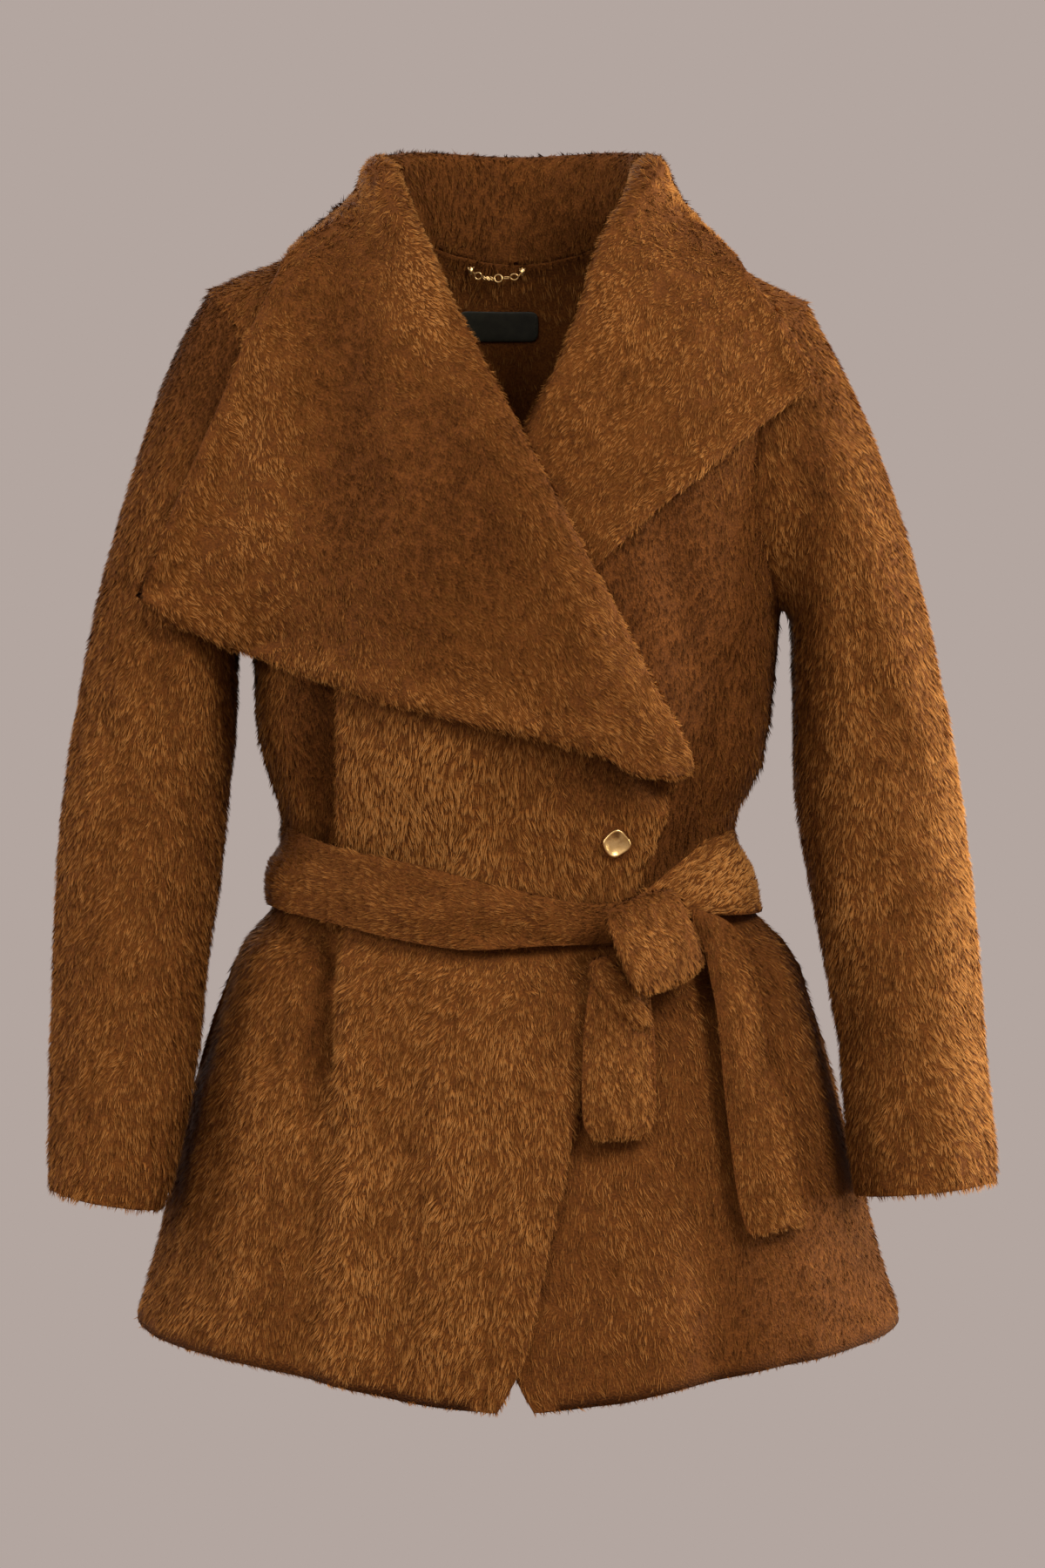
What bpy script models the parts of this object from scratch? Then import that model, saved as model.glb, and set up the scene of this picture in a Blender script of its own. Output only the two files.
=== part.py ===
"""Wool wrap coat, worn form: fronts that wrap, a wide turned-out collar and a tied belt.

Metres, +Z up. The front faces -Y, +X is the wearer's left. The origin is the middle of the
neck base, level with the tops of the shoulder seams. The coat keeps its filled-out form and
is open at the neck, hem and cuffs. Every cloth piece is a closed wall round the open inside.
"""

import math

import bpy
import numpy as np
from mathutils import Matrix, Vector
from mathutils.bvhtree import BVHTree

# ---------------------------------------------------------------- driving sizes

WALL = 0.005              # backing and pile together
SEAM_GAP = 0.0003         # between pieces that are sewn together on a flat plane
CURVED_GAP = 0.0006       # the same along a curved seam, where the rims twist
LAY_GAP = 0.0020          # between cloth that only lies on cloth
BELT_WALL = 0.008         # the belt is a tube of cloth, pressed flat
RIM_CUT = np.array((0.31, 0.47, 0.83))   # rims are cut along the diagonal further this way
SAME = 0.0006             # closer than this to a plane counts as on it

NECK_X = 0.085            # half the neck width, where the shoulder seams start
NECK_DROP = 0.022         # the back neck seam is this much lower
UNDERARM = (0.178, -0.262)
ARMHOLE_WAIST_X = 0.158   # the armhole's narrowest place on the chest
ARMHOLE_MIDDLE_Z = -0.165
SHOULDER_ROUND = 0.12     # height over which the chest rounds over into the shoulder seam

# per side: where the shoulder seam ends, and how steeply it falls
SHOULDER_POINT_X = {-1: 0.205, 1: 0.196}
SHOULDER_SLOPE = {-1: 0.385, 1: 0.500}
NECK_SLOPE = 0.44         # the same within the neck, on both sides

# level, half width, depth to the front, depth to the back, middle
BODY = np.array((
    (-0.800, 0.2700, 0.180, 0.158, 0.0030),
    (-0.742, 0.2560, 0.174, 0.152, 0.0025),
    (-0.672, 0.2390, 0.166, 0.146, 0.0010),
    (-0.600, 0.2210, 0.157, 0.138, 0.0000),
    (-0.549, 0.2070, 0.149, 0.131, 0.0000),
    (-0.514, 0.1960, 0.141, 0.124, 0.0005),
    (-0.496, 0.1890, 0.135, 0.119, 0.0000),
    (-0.478, 0.1790, 0.127, 0.112, -0.0010),
    (-0.464, 0.1620, 0.116, 0.103, -0.0020),
    (-0.450, 0.1550, 0.112, 0.100, -0.0030),
    (-0.425, 0.1515, 0.111, 0.099, -0.0050),
    (-0.400, 0.1520, 0.112, 0.100, -0.0055),
    (-0.373, 0.1660, 0.120, 0.106, -0.0020),
    (-0.335, 0.1745, 0.130, 0.114, -0.0010),
    (-0.262, 0.1780, 0.136, 0.118, 0.0000),
    (-0.170, 0.2000, 0.131, 0.113, 0.0000),
    (-0.050, 0.2600, 0.122, 0.102, 0.0000),
    (0.040, 0.2700, 0.112, 0.094, 0.0000),
))

# the belt's pinch in the body is lower at the front: angle from the front, drop
PINCH = np.array((
    (-90.0, 0.000),
    (-60.0, 0.008),
    (-40.0, 0.018),
    (-15.0, 0.030),
    (20.0, 0.040),
    (40.0, 0.034),
    (60.0, 0.012),
    (90.0, 0.004),
))
SEAM_FADE = 0.12          # the back's folds fade out over this part of it at the side seams
PINCH_LEVEL = -0.455
PINCH_REACH = 0.09

# rows of the panels, from hem to shoulder: level at the side, level at the front edge,
# level at the middle of the back, number of rows up to it
ROW_BANDS = (
    (-0.745, -0.783, -0.748, 0),    # hem
    (-0.500, -0.532, -0.500, 6),    # below the belt
    (-0.395, -0.425, -0.395, 6),    # above the belt
    (-0.335, -0.373, -0.330, 2),    # where the lapel breaks from the front edge
    (-0.262, -0.285, -0.250, 4),    # underarm
    (-0.165, -0.150, -0.140, 6),    # middle of the armhole
    (-0.045, 0.000, -0.022, 6),     # shoulder seam
)
OVER_REACH = 5            # cells of 5 mm over which the over front rises onto what it covers
BREAK_ROW = 14
UNDERARM_ROW = 18
MIDDLE_ROW = 24
LAST_ROW = 30
FRONT_COLUMNS = 19
BACK_HALF_COLUMNS = 12
NECK_COLUMNS = 5          # of the half back, how many run up into the neck
NECK_CROWD = 1.4          # they stand closer where the neck meets the shoulder

# the front edge of each front: level, how far the over and the under front wrap
FRONT_EDGE = np.array((
    (-0.783, -0.0150, -0.0150),
    (-0.772, -0.0070, -0.0070),
    (-0.758, -0.0020, -0.0020),
    (-0.709, 0.0125, 0.0125),
    (-0.655, 0.0262, 0.0250),
    (-0.600, 0.0390, 0.0370),
    (-0.500, 0.0660, 0.0580),
    (-0.436, 0.0865, 0.0740),
    (-0.402, 0.1005, 0.0830),
    (-0.373, 0.1080, 0.0880),
    (-0.355, 0.0990, 0.0830),
    (-0.318, 0.0780, 0.0690),
    (-0.267, 0.0510, 0.0470),
    (-0.205, 0.0180, 0.0180),
    (-0.148, -0.0110, -0.0110),
    (-0.110, -0.0340, -0.0340),
    (-0.079, -0.0530, -0.0530),
    (-0.045, -0.0720, -0.0720),
    (-0.015, -0.0830, -0.0830),
    (0.000, -0.0850, -0.0850),
))

# the over front's edge curls forward, most at the break: level, how far
EDGE_CURL = np.array((
    (-0.790, 0.0015),
    (-0.700, 0.0025),
    (-0.560, 0.0030),
    (-0.500, 0.0000),
    (-0.445, 0.0000),
    (-0.425, 0.0075),
    (-0.395, 0.0110),
    (-0.373, 0.0110),
    (-0.345, 0.0050),
    (-0.310, 0.0000),
))
CURL_REACH = 0.022

# folds, as soft troughs: x and level at the top, x and level at the foot, depth, half width.
# A fold deepens over the first part of its length, and fades out over the last part and a
# little past its foot.
FOLD_START = 0.25
FOLD_END = 0.23
FOLD_PAST = 0.12
FOLDS_OVER = (
    (-0.1280, -0.258, -0.1290, -0.610, 0.0170, 0.0115),
    (-0.1060, -0.262, -0.1080, -0.600, -0.0055, 0.0100),
    (-0.1350, -0.560, -0.1380, -0.800, 0.0070, 0.0240),
    (-0.0780, -0.560, -0.0920, -0.800, 0.0040, 0.0200),
)
FOLDS_UNDER = (
    (0.1220, -0.335, 0.1160, -0.450, 0.0120, 0.0150),
    (0.1050, -0.240, 0.1330, -0.370, 0.0040, 0.0180),
    (0.1180, -0.530, 0.1400, -0.800, 0.0060, 0.0240),
    (0.0560, -0.540, 0.0660, -0.800, 0.0040, 0.0220),
)
FOLDS_BACK = (
    (-0.0950, -0.330, -0.0800, -0.430, 0.0040, 0.0160),
    (0.0880, -0.330, 0.0760, -0.430, 0.0045, 0.0160),
    (-0.1180, -0.500, -0.1500, -0.800, 0.0080, 0.0260),
    (-0.0360, -0.500, -0.0480, -0.800, 0.0060, 0.0240),
    (0.0480, -0.500, 0.0560, -0.800, 0.0060, 0.0240),
    (0.1240, -0.500, 0.1480, -0.800, 0.0080, 0.0260),
)

# sleeves, shoulder to cuff: outer x and level, inner x and level, depth to the front,
# depth to the back, how far the arm is forward
SLEEVE_ROWS = {
    -1: np.array((
        (0.2165, -0.055, 0.1815, -0.2615, 0.072, 0.066, 0.000),
        (0.2260, -0.078, 0.1835, -0.2650, 0.076, 0.069, 0.000),
        (0.2387, -0.110, 0.1842, -0.2740, 0.077, 0.069, 0.000),
        (0.2530, -0.157, 0.1846, -0.2920, 0.076, 0.068, 0.001),
        (0.2720, -0.216, 0.1850, -0.3200, 0.073, 0.065, 0.003),
        (0.2880, -0.286, 0.1874, -0.3580, 0.069, 0.062, 0.007),
        (0.3001, -0.356, 0.1912, -0.4020, 0.065, 0.059, 0.014),
        (0.3066, -0.426, 0.1975, -0.4520, 0.061, 0.057, 0.023),
        (0.3118, -0.496, 0.2030, -0.5060, 0.058, 0.054, 0.035),
        (0.3135, -0.556, 0.2085, -0.5580, 0.055, 0.052, 0.048),
        (0.3141, -0.606, 0.2155, -0.6060, 0.053, 0.050, 0.060),
        (0.3130, -0.646, 0.2310, -0.6610, 0.050, 0.048, 0.070),
    )),
    1: np.array((
        (0.2010, -0.064, 0.1815, -0.2615, 0.071, 0.066, 0.000),
        (0.2090, -0.080, 0.1835, -0.2650, 0.076, 0.069, 0.000),
        (0.2252, -0.110, 0.1840, -0.2740, 0.077, 0.069, 0.000),
        (0.2455, -0.157, 0.1840, -0.2920, 0.076, 0.068, 0.001),
        (0.2644, -0.216, 0.1838, -0.3200, 0.074, 0.066, 0.003),
        (0.2808, -0.286, 0.1842, -0.3580, 0.070, 0.063, 0.007),
        (0.2943, -0.356, 0.1872, -0.4020, 0.066, 0.060, 0.014),
        (0.3048, -0.426, 0.1955, -0.4520, 0.062, 0.058, 0.023),
        (0.3124, -0.496, 0.2055, -0.5060, 0.059, 0.055, 0.035),
        (0.3170, -0.556, 0.2130, -0.5580, 0.056, 0.053, 0.048),
        (0.3215, -0.606, 0.2160, -0.6060, 0.054, 0.052, 0.060),
        (0.3240, -0.640, 0.2215, -0.6510, 0.052, 0.050, 0.070),
    )),
}
SLEEVE_RINGS = 17
ARMHOLE_BLEND = 0.22      # part of the sleeve's length over which the armhole turns into an oval

# collar and lapels, from the break up to the shoulder seam, for the over and the under side:
# level on the front edge, stand height, roll radius, lean from across to up,
# over lapel's edge x and level, under lapel's edge x and level
LAPEL = np.array((
    (-0.373, 0.003, 0.0078, 0.00, 0.0780, -0.3740, 0.0580, -0.3700),
    (-0.351, 0.003, 0.0078, 0.00, 0.0600, -0.3620, 0.0430, -0.3480),
    (-0.329, 0.003, 0.0080, 0.00, 0.0360, -0.3550, 0.0220, -0.3210),
    (-0.307, 0.003, 0.0083, 0.00, 0.0060, -0.3480, -0.0020, -0.2930),
    (-0.285, 0.003, 0.0085, 0.00, -0.0300, -0.3410, -0.0290, -0.2640),
    (-0.252, 0.003, 0.0090, 0.00, -0.0800, -0.3285, -0.0600, -0.2310),
    (-0.230, 0.003, 0.0090, 0.00, -0.1290, -0.3110, -0.0920, -0.2030),
    (-0.205, 0.003, 0.0090, 0.00, -0.1820, -0.2920, -0.1230, -0.1770),
    (-0.186, 0.003, 0.0090, 0.02, -0.2320, -0.2730, -0.1520, -0.1520),
    (-0.167, 0.004, 0.0090, 0.05, -0.2500, -0.2560, -0.1790, -0.1300),
    (-0.150, 0.006, 0.0090, 0.10, -0.2360, -0.2220, -0.1990, -0.1150),
    (-0.111, 0.010, 0.0090, 0.25, -0.2130, -0.1720, -0.1900, -0.0940),
    (-0.075, 0.0170, 0.0100, 0.50, -0.1930, -0.1270, -0.1780, -0.0760),
    (-0.044, 0.0235, 0.0115, 0.75, -0.1760, -0.0860, -0.1660, -0.0610),
    (-0.020, 0.0280, 0.0130, 0.92, -0.1630, -0.0560, -0.1560, -0.0470),
    (-0.005, 0.0315, 0.0135, 1.00, -0.1530, -0.0330, -0.1490, -0.0350),
    (0.000, 0.0335, 0.0135, 1.00, -0.1480, -0.0150, -0.1440, -0.0215),
))
LAPEL_STATIONS = LAST_ROW - BREAK_ROW      # station 0 is the break

# back collar, from the shoulder seam to the middle of the back: part of the way,
# stand height, edge x, edge depth to the back, edge level
BACK_COLLAR = np.array((
    (0.00, 0.0335, 0.1470, 0.000, -0.0150),
    (0.25, 0.0475, 0.1360, 0.052, -0.0300),
    (0.50, 0.0565, 0.1080, 0.090, -0.0420),
    (0.75, 0.0620, 0.0600, 0.111, -0.0500),
    (1.00, 0.0640, 0.0000, 0.118, -0.0520),
))
STAND_STEPS = 3
LOW_STAND = 0.005         # a stand below this lies in the front's own surface
LIES_FROM = 0.05          # this far forward, a fall begins to lie flat on the chest
LIES_OVER = 0.03          # and it lies flat this much further on
LIES_SHARE = 0.7          # how far its wall then turns straight to the back
FIT_PASSES = 3            # rounds of laying the over front on what it covers
ROLL_STEPS = 6
FALL_STEPS = 9

# belt round the waist: angle from the front (the wearer's left is positive), level, height
BELT = np.array((
    (-180.0, -0.432, 0.054),
    (-135.0, -0.432, 0.054),
    (-90.0, -0.432, 0.054),
    (-58.0, -0.4430, 0.053),
    (-42.0, -0.4500, 0.054),
    (-27.0, -0.4570, 0.054),
    (-9.0, -0.4650, 0.046),
    (5.0, -0.4670, 0.036),
    (16.0, -0.4700, 0.029),
    (30.0, -0.4700, 0.027),
    (42.0, -0.4600, 0.029),
    (54.0, -0.4460, 0.040),
    (72.0, -0.4390, 0.056),
    (90.0, -0.4370, 0.057),
    (135.0, -0.432, 0.054),
    (180.0, -0.432, 0.054),
))
BELT_STATIONS = 44
BELT_SEARCH = 0.005        # how far round each point of the belt the body is felt for

KNOT = (0.0880, -0.4800)          # middle, x and level
KNOT_HALF = (0.0300, 0.0140, 0.0330)
KNOT_LEAN = math.radians(-12)
KNOT_FEELERS = 9          # each way, where what lies under the knot is felt for
KNOT_FELT = 1.1           # out to this share of its half sizes, squared

# belt ends, from the knot down: x and level of each side of the strip
SHORT_END = np.array((
    (0.0480, -0.5000, 0.0880, -0.5000),
    (0.0440, -0.5200, 0.0900, -0.5260),
    (0.0415, -0.5450, 0.0925, -0.5460),
    (0.0405, -0.5750, 0.0930, -0.5750),
    (0.0415, -0.5960, 0.0925, -0.5950),
    (0.0470, -0.6060, 0.0870, -0.6060),
))
LONG_END = np.array((
    (0.1155, -0.4720, 0.1160, -0.4590),
    (0.1210, -0.4830, 0.1330, -0.4640),
    (0.1240, -0.5020, 0.1480, -0.4740),
    (0.1285, -0.5270, 0.1580, -0.4930),
    (0.1315, -0.5540, 0.1660, -0.5200),
    (0.1340, -0.5840, 0.1730, -0.5580),
    (0.1380, -0.6180, 0.1800, -0.5990),
    (0.1450, -0.6620, 0.1880, -0.6400),
    (0.1500, -0.6720, 0.1935, -0.6610),
))

# section of a belt end: across and thickness, from edge to edge over the face and back
END_SECTION = ((-1.0, -0.35), (-0.86, 0.45), (-0.45, 0.85), (0.0, 1.0), (0.45, 0.85),
               (0.86, 0.45), (1.0, -0.35), (0.5, -1.0), (-0.5, -1.0))
TIP_SHARE = 0.6           # part of the full thickness at its tips

BUTTON_AT = (0.0650, -0.4170)
BUTTON_RADIUS = 0.0091
BUTTON_THICK = 0.0045

LABEL_MIDDLE = (-0.0120, -0.0640)
LABEL_SIZE = (0.056, 0.021)
LABEL_THICK = 0.0008

CHAIN_LEVEL = -0.0275      # of the line that the chain hangs and swings on
CHAIN_CLEAR = 0.0016       # from that line to the cloth behind it
# links: name, x, level, half length, half height, wire radius, turn in degrees
CHAIN_LINKS = (
    ("ring_a", -0.0257, -0.0310, 0.0027, 0.0027, 0.00045, 0.0),
    ("small_a", -0.0216, -0.0323, 0.0016, 0.0009, 0.00035, 60.0),
    ("small_b", -0.0190, -0.0327, 0.0016, 0.0009, 0.00035, 60.0),
    ("small_c", -0.0164, -0.0327, 0.0016, 0.0009, 0.00035, 60.0),
    ("ring_b", -0.0119, -0.0324, 0.0031, 0.0031, 0.00050, 0.0),
    ("bar", -0.0063, -0.0319, 0.0020, 0.0011, 0.00040, 0.0),
    ("oval", -0.0010, -0.0312, 0.0029, 0.0024, 0.00050, 0.0),
)
CHAIN_ENDS = (-0.0307, 0.0044)
STUD_SIZE = (0.0018, 0.0028, 0.0012)   # half length, half height, thickness

COLOURS = {
    "wool_cloth": ((0.155, 0.052, 0.012, 1.0), 0.85, 0.0),
    "label_satin": ((0.012, 0.011, 0.010, 1.0), 0.45, 0.0),
    "gold_metal": ((0.62, 0.40, 0.16, 1.0), 0.32, 1.0),
}

# ---------------------------------------------------------------- small helpers


def read_table(table, key, column):
    """A smooth value from a table whose first column is the key."""
    keys = table[:, 0]
    values = table[:, column]
    key = min(max(key, keys[0]), keys[-1])
    i = int(min(max(np.searchsorted(keys, key) - 1, 0), len(keys) - 2))
    span = keys[i + 1] - keys[i]
    t = (key - keys[i]) / span
    before = slope_at(keys, values, i) * span
    after = slope_at(keys, values, i + 1) * span
    return (values[i] * (2 * t**3 - 3 * t**2 + 1) + before * (t**3 - 2 * t**2 + t)
            + values[i + 1] * (3 * t**2 - 2 * t**3) + after * (t**3 - t**2))


def slope_at(keys, values, i):
    """Slope of a table at a row: none at a turn, so that no value overshoots."""
    if i == 0:
        return (values[1] - values[0]) / (keys[1] - keys[0])
    if i == len(keys) - 1:
        return (values[i] - values[i - 1]) / (keys[i] - keys[i - 1])
    left = (values[i] - values[i - 1]) / (keys[i] - keys[i - 1])
    right = (values[i + 1] - values[i]) / (keys[i + 1] - keys[i])
    if left * right <= 0:
        return 0.0
    return 2 * left * right / (left + right)


def along_rows(table, part, column):
    """A smooth value at a part (0 to 1) of the way down a table's rows."""
    rows = np.column_stack((np.linspace(0.0, 1.0, len(table)), table[:, column]))
    return read_table(rows, part, 1)


def mix(a, b, t):
    """The value a part t of the way from a to b."""
    return a + (b - a) * t


def smooth_step(t):
    """A soft step from 0 to 1."""
    t = min(max(t, 0.0), 1.0)
    return t * t * (3 - 2 * t)


def unit(v):
    """The vector at length 1."""
    return v / np.linalg.norm(v)


def grid_normals(points, closed=False):
    """Outward normals of a grid of points: first index across, second index up."""
    if closed:
        across = np.roll(points, -1, axis=0) - np.roll(points, 1, axis=0)
    else:
        across = np.gradient(points, axis=0)
    up = np.gradient(points, axis=1)
    normals = np.cross(across, up)
    return normals / np.linalg.norm(normals, axis=2, keepdims=True)


def flatten_at_seams(points, normals):
    """Seams on the plane y = 0 get walls that meet face to face on that plane."""
    on_plane = np.abs(points[:, :, 1]) < SAME
    normals[on_plane, 1] = 0.0
    return normals / np.linalg.norm(normals, axis=2, keepdims=True)


def fix_direction(mesh):
    """Turn the faces outward, by the sign of the enclosed volume."""
    volume = 0.0
    for polygon in mesh.polygons:
        corners = [mesh.vertices[i].co for i in polygon.vertices]
        for b, c in zip(corners[1:], corners[2:]):
            volume += corners[0].dot(b.cross(c))
    if volume < 0:
        mesh.flip_normals()


def rim_faces(verts, ring):
    """Two triangles of a rim; rims that meet at a seam are cut along the same diagonal."""
    first = (verts[ring[0]] + verts[ring[2]]) @ RIM_CUT
    second = (verts[ring[1]] + verts[ring[3]]) @ RIM_CUT
    if first < second:
        ring = ring[1:] + ring[:1]
    return [[ring[0], ring[1], ring[2]], [ring[0], ring[2], ring[3]]]


def wall_mesh(name, outer, inner, closed=False):
    """A closed wall between two grids of points, as a loft with rims."""
    across, up = outer.shape[:2]
    count = across * up
    verts = np.concatenate((outer.reshape(-1, 3), inner.reshape(-1, 3)))

    def index(i, j, side):
        return side * count + (i % across) * up + j

    faces = []
    last = across if closed else across - 1
    for i in range(last):
        for j in range(up - 1):
            ring = ((i, j), (i + 1, j), (i + 1, j + 1), (i, j + 1))
            corners = [verts[index(a, b, 0)] for a, b in ring]
            if np.linalg.norm(corners[2] - corners[0]) > np.linalg.norm(corners[3] - corners[1]):
                ring = ring[1:] + ring[:1]
            for half in ((ring[0], ring[1], ring[2]), (ring[0], ring[2], ring[3])):
                faces.append([index(a, b, 0) for a, b in half])
                faces.append([index(a, b, 1) for a, b in reversed(half)])
        faces += rim_faces(verts, [index(i, 0, 1), index(i + 1, 0, 1), index(i + 1, 0, 0),
                                   index(i, 0, 0)])
        top = up - 1
        faces += rim_faces(verts, [index(i, top, 0), index(i + 1, top, 0),
                                   index(i + 1, top, 1), index(i, top, 1)])
    if not closed:
        end = across - 1
        for j in range(up - 1):
            faces += rim_faces(verts, [index(0, j, 0), index(0, j + 1, 0),
                                       index(0, j + 1, 1), index(0, j, 1)])
            faces += rim_faces(verts, [index(end, j, 1), index(end, j + 1, 1),
                                       index(end, j + 1, 0), index(end, j, 0)])
    mesh = bpy.data.meshes.new(name)
    mesh.from_pydata([tuple(v) for v in verts], [], faces)
    mesh.update()
    fix_direction(mesh)
    return mesh


def make_material(name):
    """A material slot with its plain colour."""
    colour, roughness, metallic = COLOURS[name]
    material = bpy.data.materials.new(name)
    material.use_nodes = True
    shader = material.node_tree.nodes["Principled BSDF"]
    shader.inputs["Base Color"].default_value = colour
    shader.inputs["Roughness"].default_value = roughness
    shader.inputs["Metallic"].default_value = metallic
    material.diffuse_color = colour
    return material


def add_object(name, mesh, material, collection):
    """A named piece with its material slot."""
    for polygon in mesh.polygons:
        polygon.use_smooth = True
    mesh.materials.append(material)
    ob = bpy.data.objects.new(name, mesh)
    collection.objects.link(ob)
    return ob


def tree_of(ob):
    """A search tree over a piece's faces."""
    mesh = ob.data
    verts = [v.co.copy() for v in mesh.vertices]
    faces = [tuple(p.vertices) for p in mesh.polygons]
    return BVHTree.FromPolygons(verts, faces)


# ---------------------------------------------------------------- the body form


def shoulder_level(x):
    """Level of the shoulder seam at an x."""
    side = -1 if x < 0 else 1
    slope = SHOULDER_SLOPE[side] if abs(x) > NECK_X else NECK_SLOPE
    return -slope * (abs(x) - NECK_X)


def body_row(angle, z):
    """The body table at a level, with the belt's pinch lowered towards the front."""
    degrees = math.degrees(angle)
    drop = 0.0
    if abs(degrees) < 90:
        near = math.exp(-((z - PINCH_LEVEL) / PINCH_REACH) ** 2)
        drop = read_table(PINCH, degrees, 1) * near
    return [read_table(BODY, z + drop, column) for column in (1, 2, 3, 4)]


def read_x(angle, z):
    """x of the body form at an angle and a level."""
    half, _front, _back, middle = body_row(angle, z)
    return half * math.sin(angle) + middle


def body_point(angle, z):
    """A point of the body form: angle 0 is the front, 90 degrees the wearer's left."""
    half, front, back, middle = body_row(angle, z)
    x = half * math.sin(angle)
    deep = front if math.cos(angle) > 0 else back
    low = (shoulder_level(x) - z) / SHOULDER_ROUND
    low = min(max(low, 0.0), 1.0)
    round_over = math.sqrt(max(1 - (1 - low) ** 2, 0.0))
    return np.array((x + middle, -deep * math.cos(angle) * round_over, z))


def angle_at(x, z, to_back=False):
    """The angle whose point of the body form has this x."""
    angle = 0.0
    for _ in range(6):
        half, _front, _back, middle = body_row(angle, z)
        share = min(max((x - middle) / half, -1.0), 1.0)
        angle = math.asin(share)
    return math.pi - angle if to_back else angle


def fold_depth(folds, x, z):
    """How far the soft troughs in a table push the cloth in at a place."""
    depth = 0.0
    for x_top, z_top, x_foot, z_foot, deep, width in folds:
        part = (z_top - z) / (z_top - z_foot)
        fade = (smooth_step(part / FOLD_START)
                * smooth_step((1 + FOLD_PAST - part) / (FOLD_PAST + FOLD_END)))
        middle = mix(x_top, x_foot, min(max(part, 0.0), 1.0))
        depth += deep * fade * math.exp(-((x - middle) / width) ** 2)
    return depth


# ---------------------------------------------------------------- rows of the panels


def row_levels():
    """For each row: side level, front edge level, back level, and the armhole angle or None."""
    rows = [(ROW_BANDS[0][0], ROW_BANDS[0][1], ROW_BANDS[0][2], None)]
    for before, band in zip(ROW_BANDS, ROW_BANDS[1:]):
        side, front, back, count = band
        for k in range(1, count + 1):
            t = k / count
            row = len(rows)
            theta = None
            if row > MIDDLE_ROW:
                theta = math.radians(90 * (1 - t))
                t = math.cos(theta)
            elif row > UNDERARM_ROW:
                theta = math.radians(180 - 90 * t)
            rows.append((mix(before[0], side, t), mix(before[1], front, t),
                         mix(before[2], back, t), theta))
    return rows


ROWS = row_levels()


def armhole_point(side, theta):
    """x and level on the armhole: 0 is the shoulder, 180 degrees the underarm."""
    shoulder_x = SHOULDER_POINT_X[side]
    shoulder_z = shoulder_level(side * shoulder_x)
    in_and_out = math.sin(theta) ** 2
    if theta <= math.pi / 2:
        z = mix(ARMHOLE_MIDDLE_Z, shoulder_z, math.cos(theta))
        x = mix(shoulder_x, ARMHOLE_WAIST_X, in_and_out)
    else:
        z = ARMHOLE_MIDDLE_Z + (ARMHOLE_MIDDLE_Z - UNDERARM[1]) * math.cos(theta)
        x = mix(UNDERARM[0], ARMHOLE_WAIST_X, in_and_out)
    return side * x, z


def side_of_row(side, row, to_back):
    """Angle and level where a row meets the side seam or the armhole."""
    side_z, _front, _back, theta = ROWS[row]
    if theta is None:
        return side * math.pi / 2, side_z
    x, z = armhole_point(side, theta)
    if row == LAST_ROW:
        z = shoulder_level(x)
    return angle_at(x, z, to_back), z


def front_edge_of_row(side, row):
    """Angle and level where a row meets the front edge of one front."""
    front_z = ROWS[row][1]
    x = -side * read_table(FRONT_EDGE, front_z, 1 if side < 0 else 2)
    return angle_at(x, front_z), front_z


def seam_shift(point, towards):
    """Half the seam gap, for a point on the plane y = 0."""
    if abs(point[1]) < SAME:
        point[1] = towards * SEAM_GAP / 2
    return point


def front_points(side):
    """One front: columns from the front edge to the side seam, rows from hem to shoulder."""
    grid = np.zeros((FRONT_COLUMNS + 1, LAST_ROW + 1, 3))
    for row in range(LAST_ROW + 1):
        angle_side, z_side = side_of_row(side, row, False)
        angle_edge, z_edge = front_edge_of_row(side, row)
        for column in range(FRONT_COLUMNS + 1):
            t = column / FRONT_COLUMNS
            angle = mix(angle_edge, angle_side, t)
            z = mix(z_edge, z_side, t)
            if row > MIDDLE_ROW:
                x = read_x(angle, z)
                share = math.cos(ROWS[row][3])
                base = mix(ROWS[MIDDLE_ROW][1], ROWS[MIDDLE_ROW][0], t)
                z = mix(base, shoulder_level(x), share)
            point = body_point(angle, z)
            if row == LAST_ROW:
                point[1] = 0.0
            grid[column, row] = seam_shift(point, -1)
    return grid[::-1].copy() if side < 0 else grid


def fold_in(grid, folds):
    """Push a front's soft troughs in; they fade out towards the side seam."""
    for point in grid.reshape(-1, 3):
        share = smooth_step((-point[1] - 0.01) / 0.04)
        point[1] += fold_depth(folds, point[0], point[2]) * share
    return grid


def curl_edge(grid):
    """Bring the over front's edge forward."""
    for row in range(LAST_ROW + 1):
        edge = grid[-1, row].copy()
        amount = read_table(EDGE_CURL, edge[2], 1)
        for point in grid[:, row]:
            away = np.linalg.norm(point - edge)
            point[1] -= amount * math.exp(-(away / CURL_REACH) ** 2)
    return grid


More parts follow.
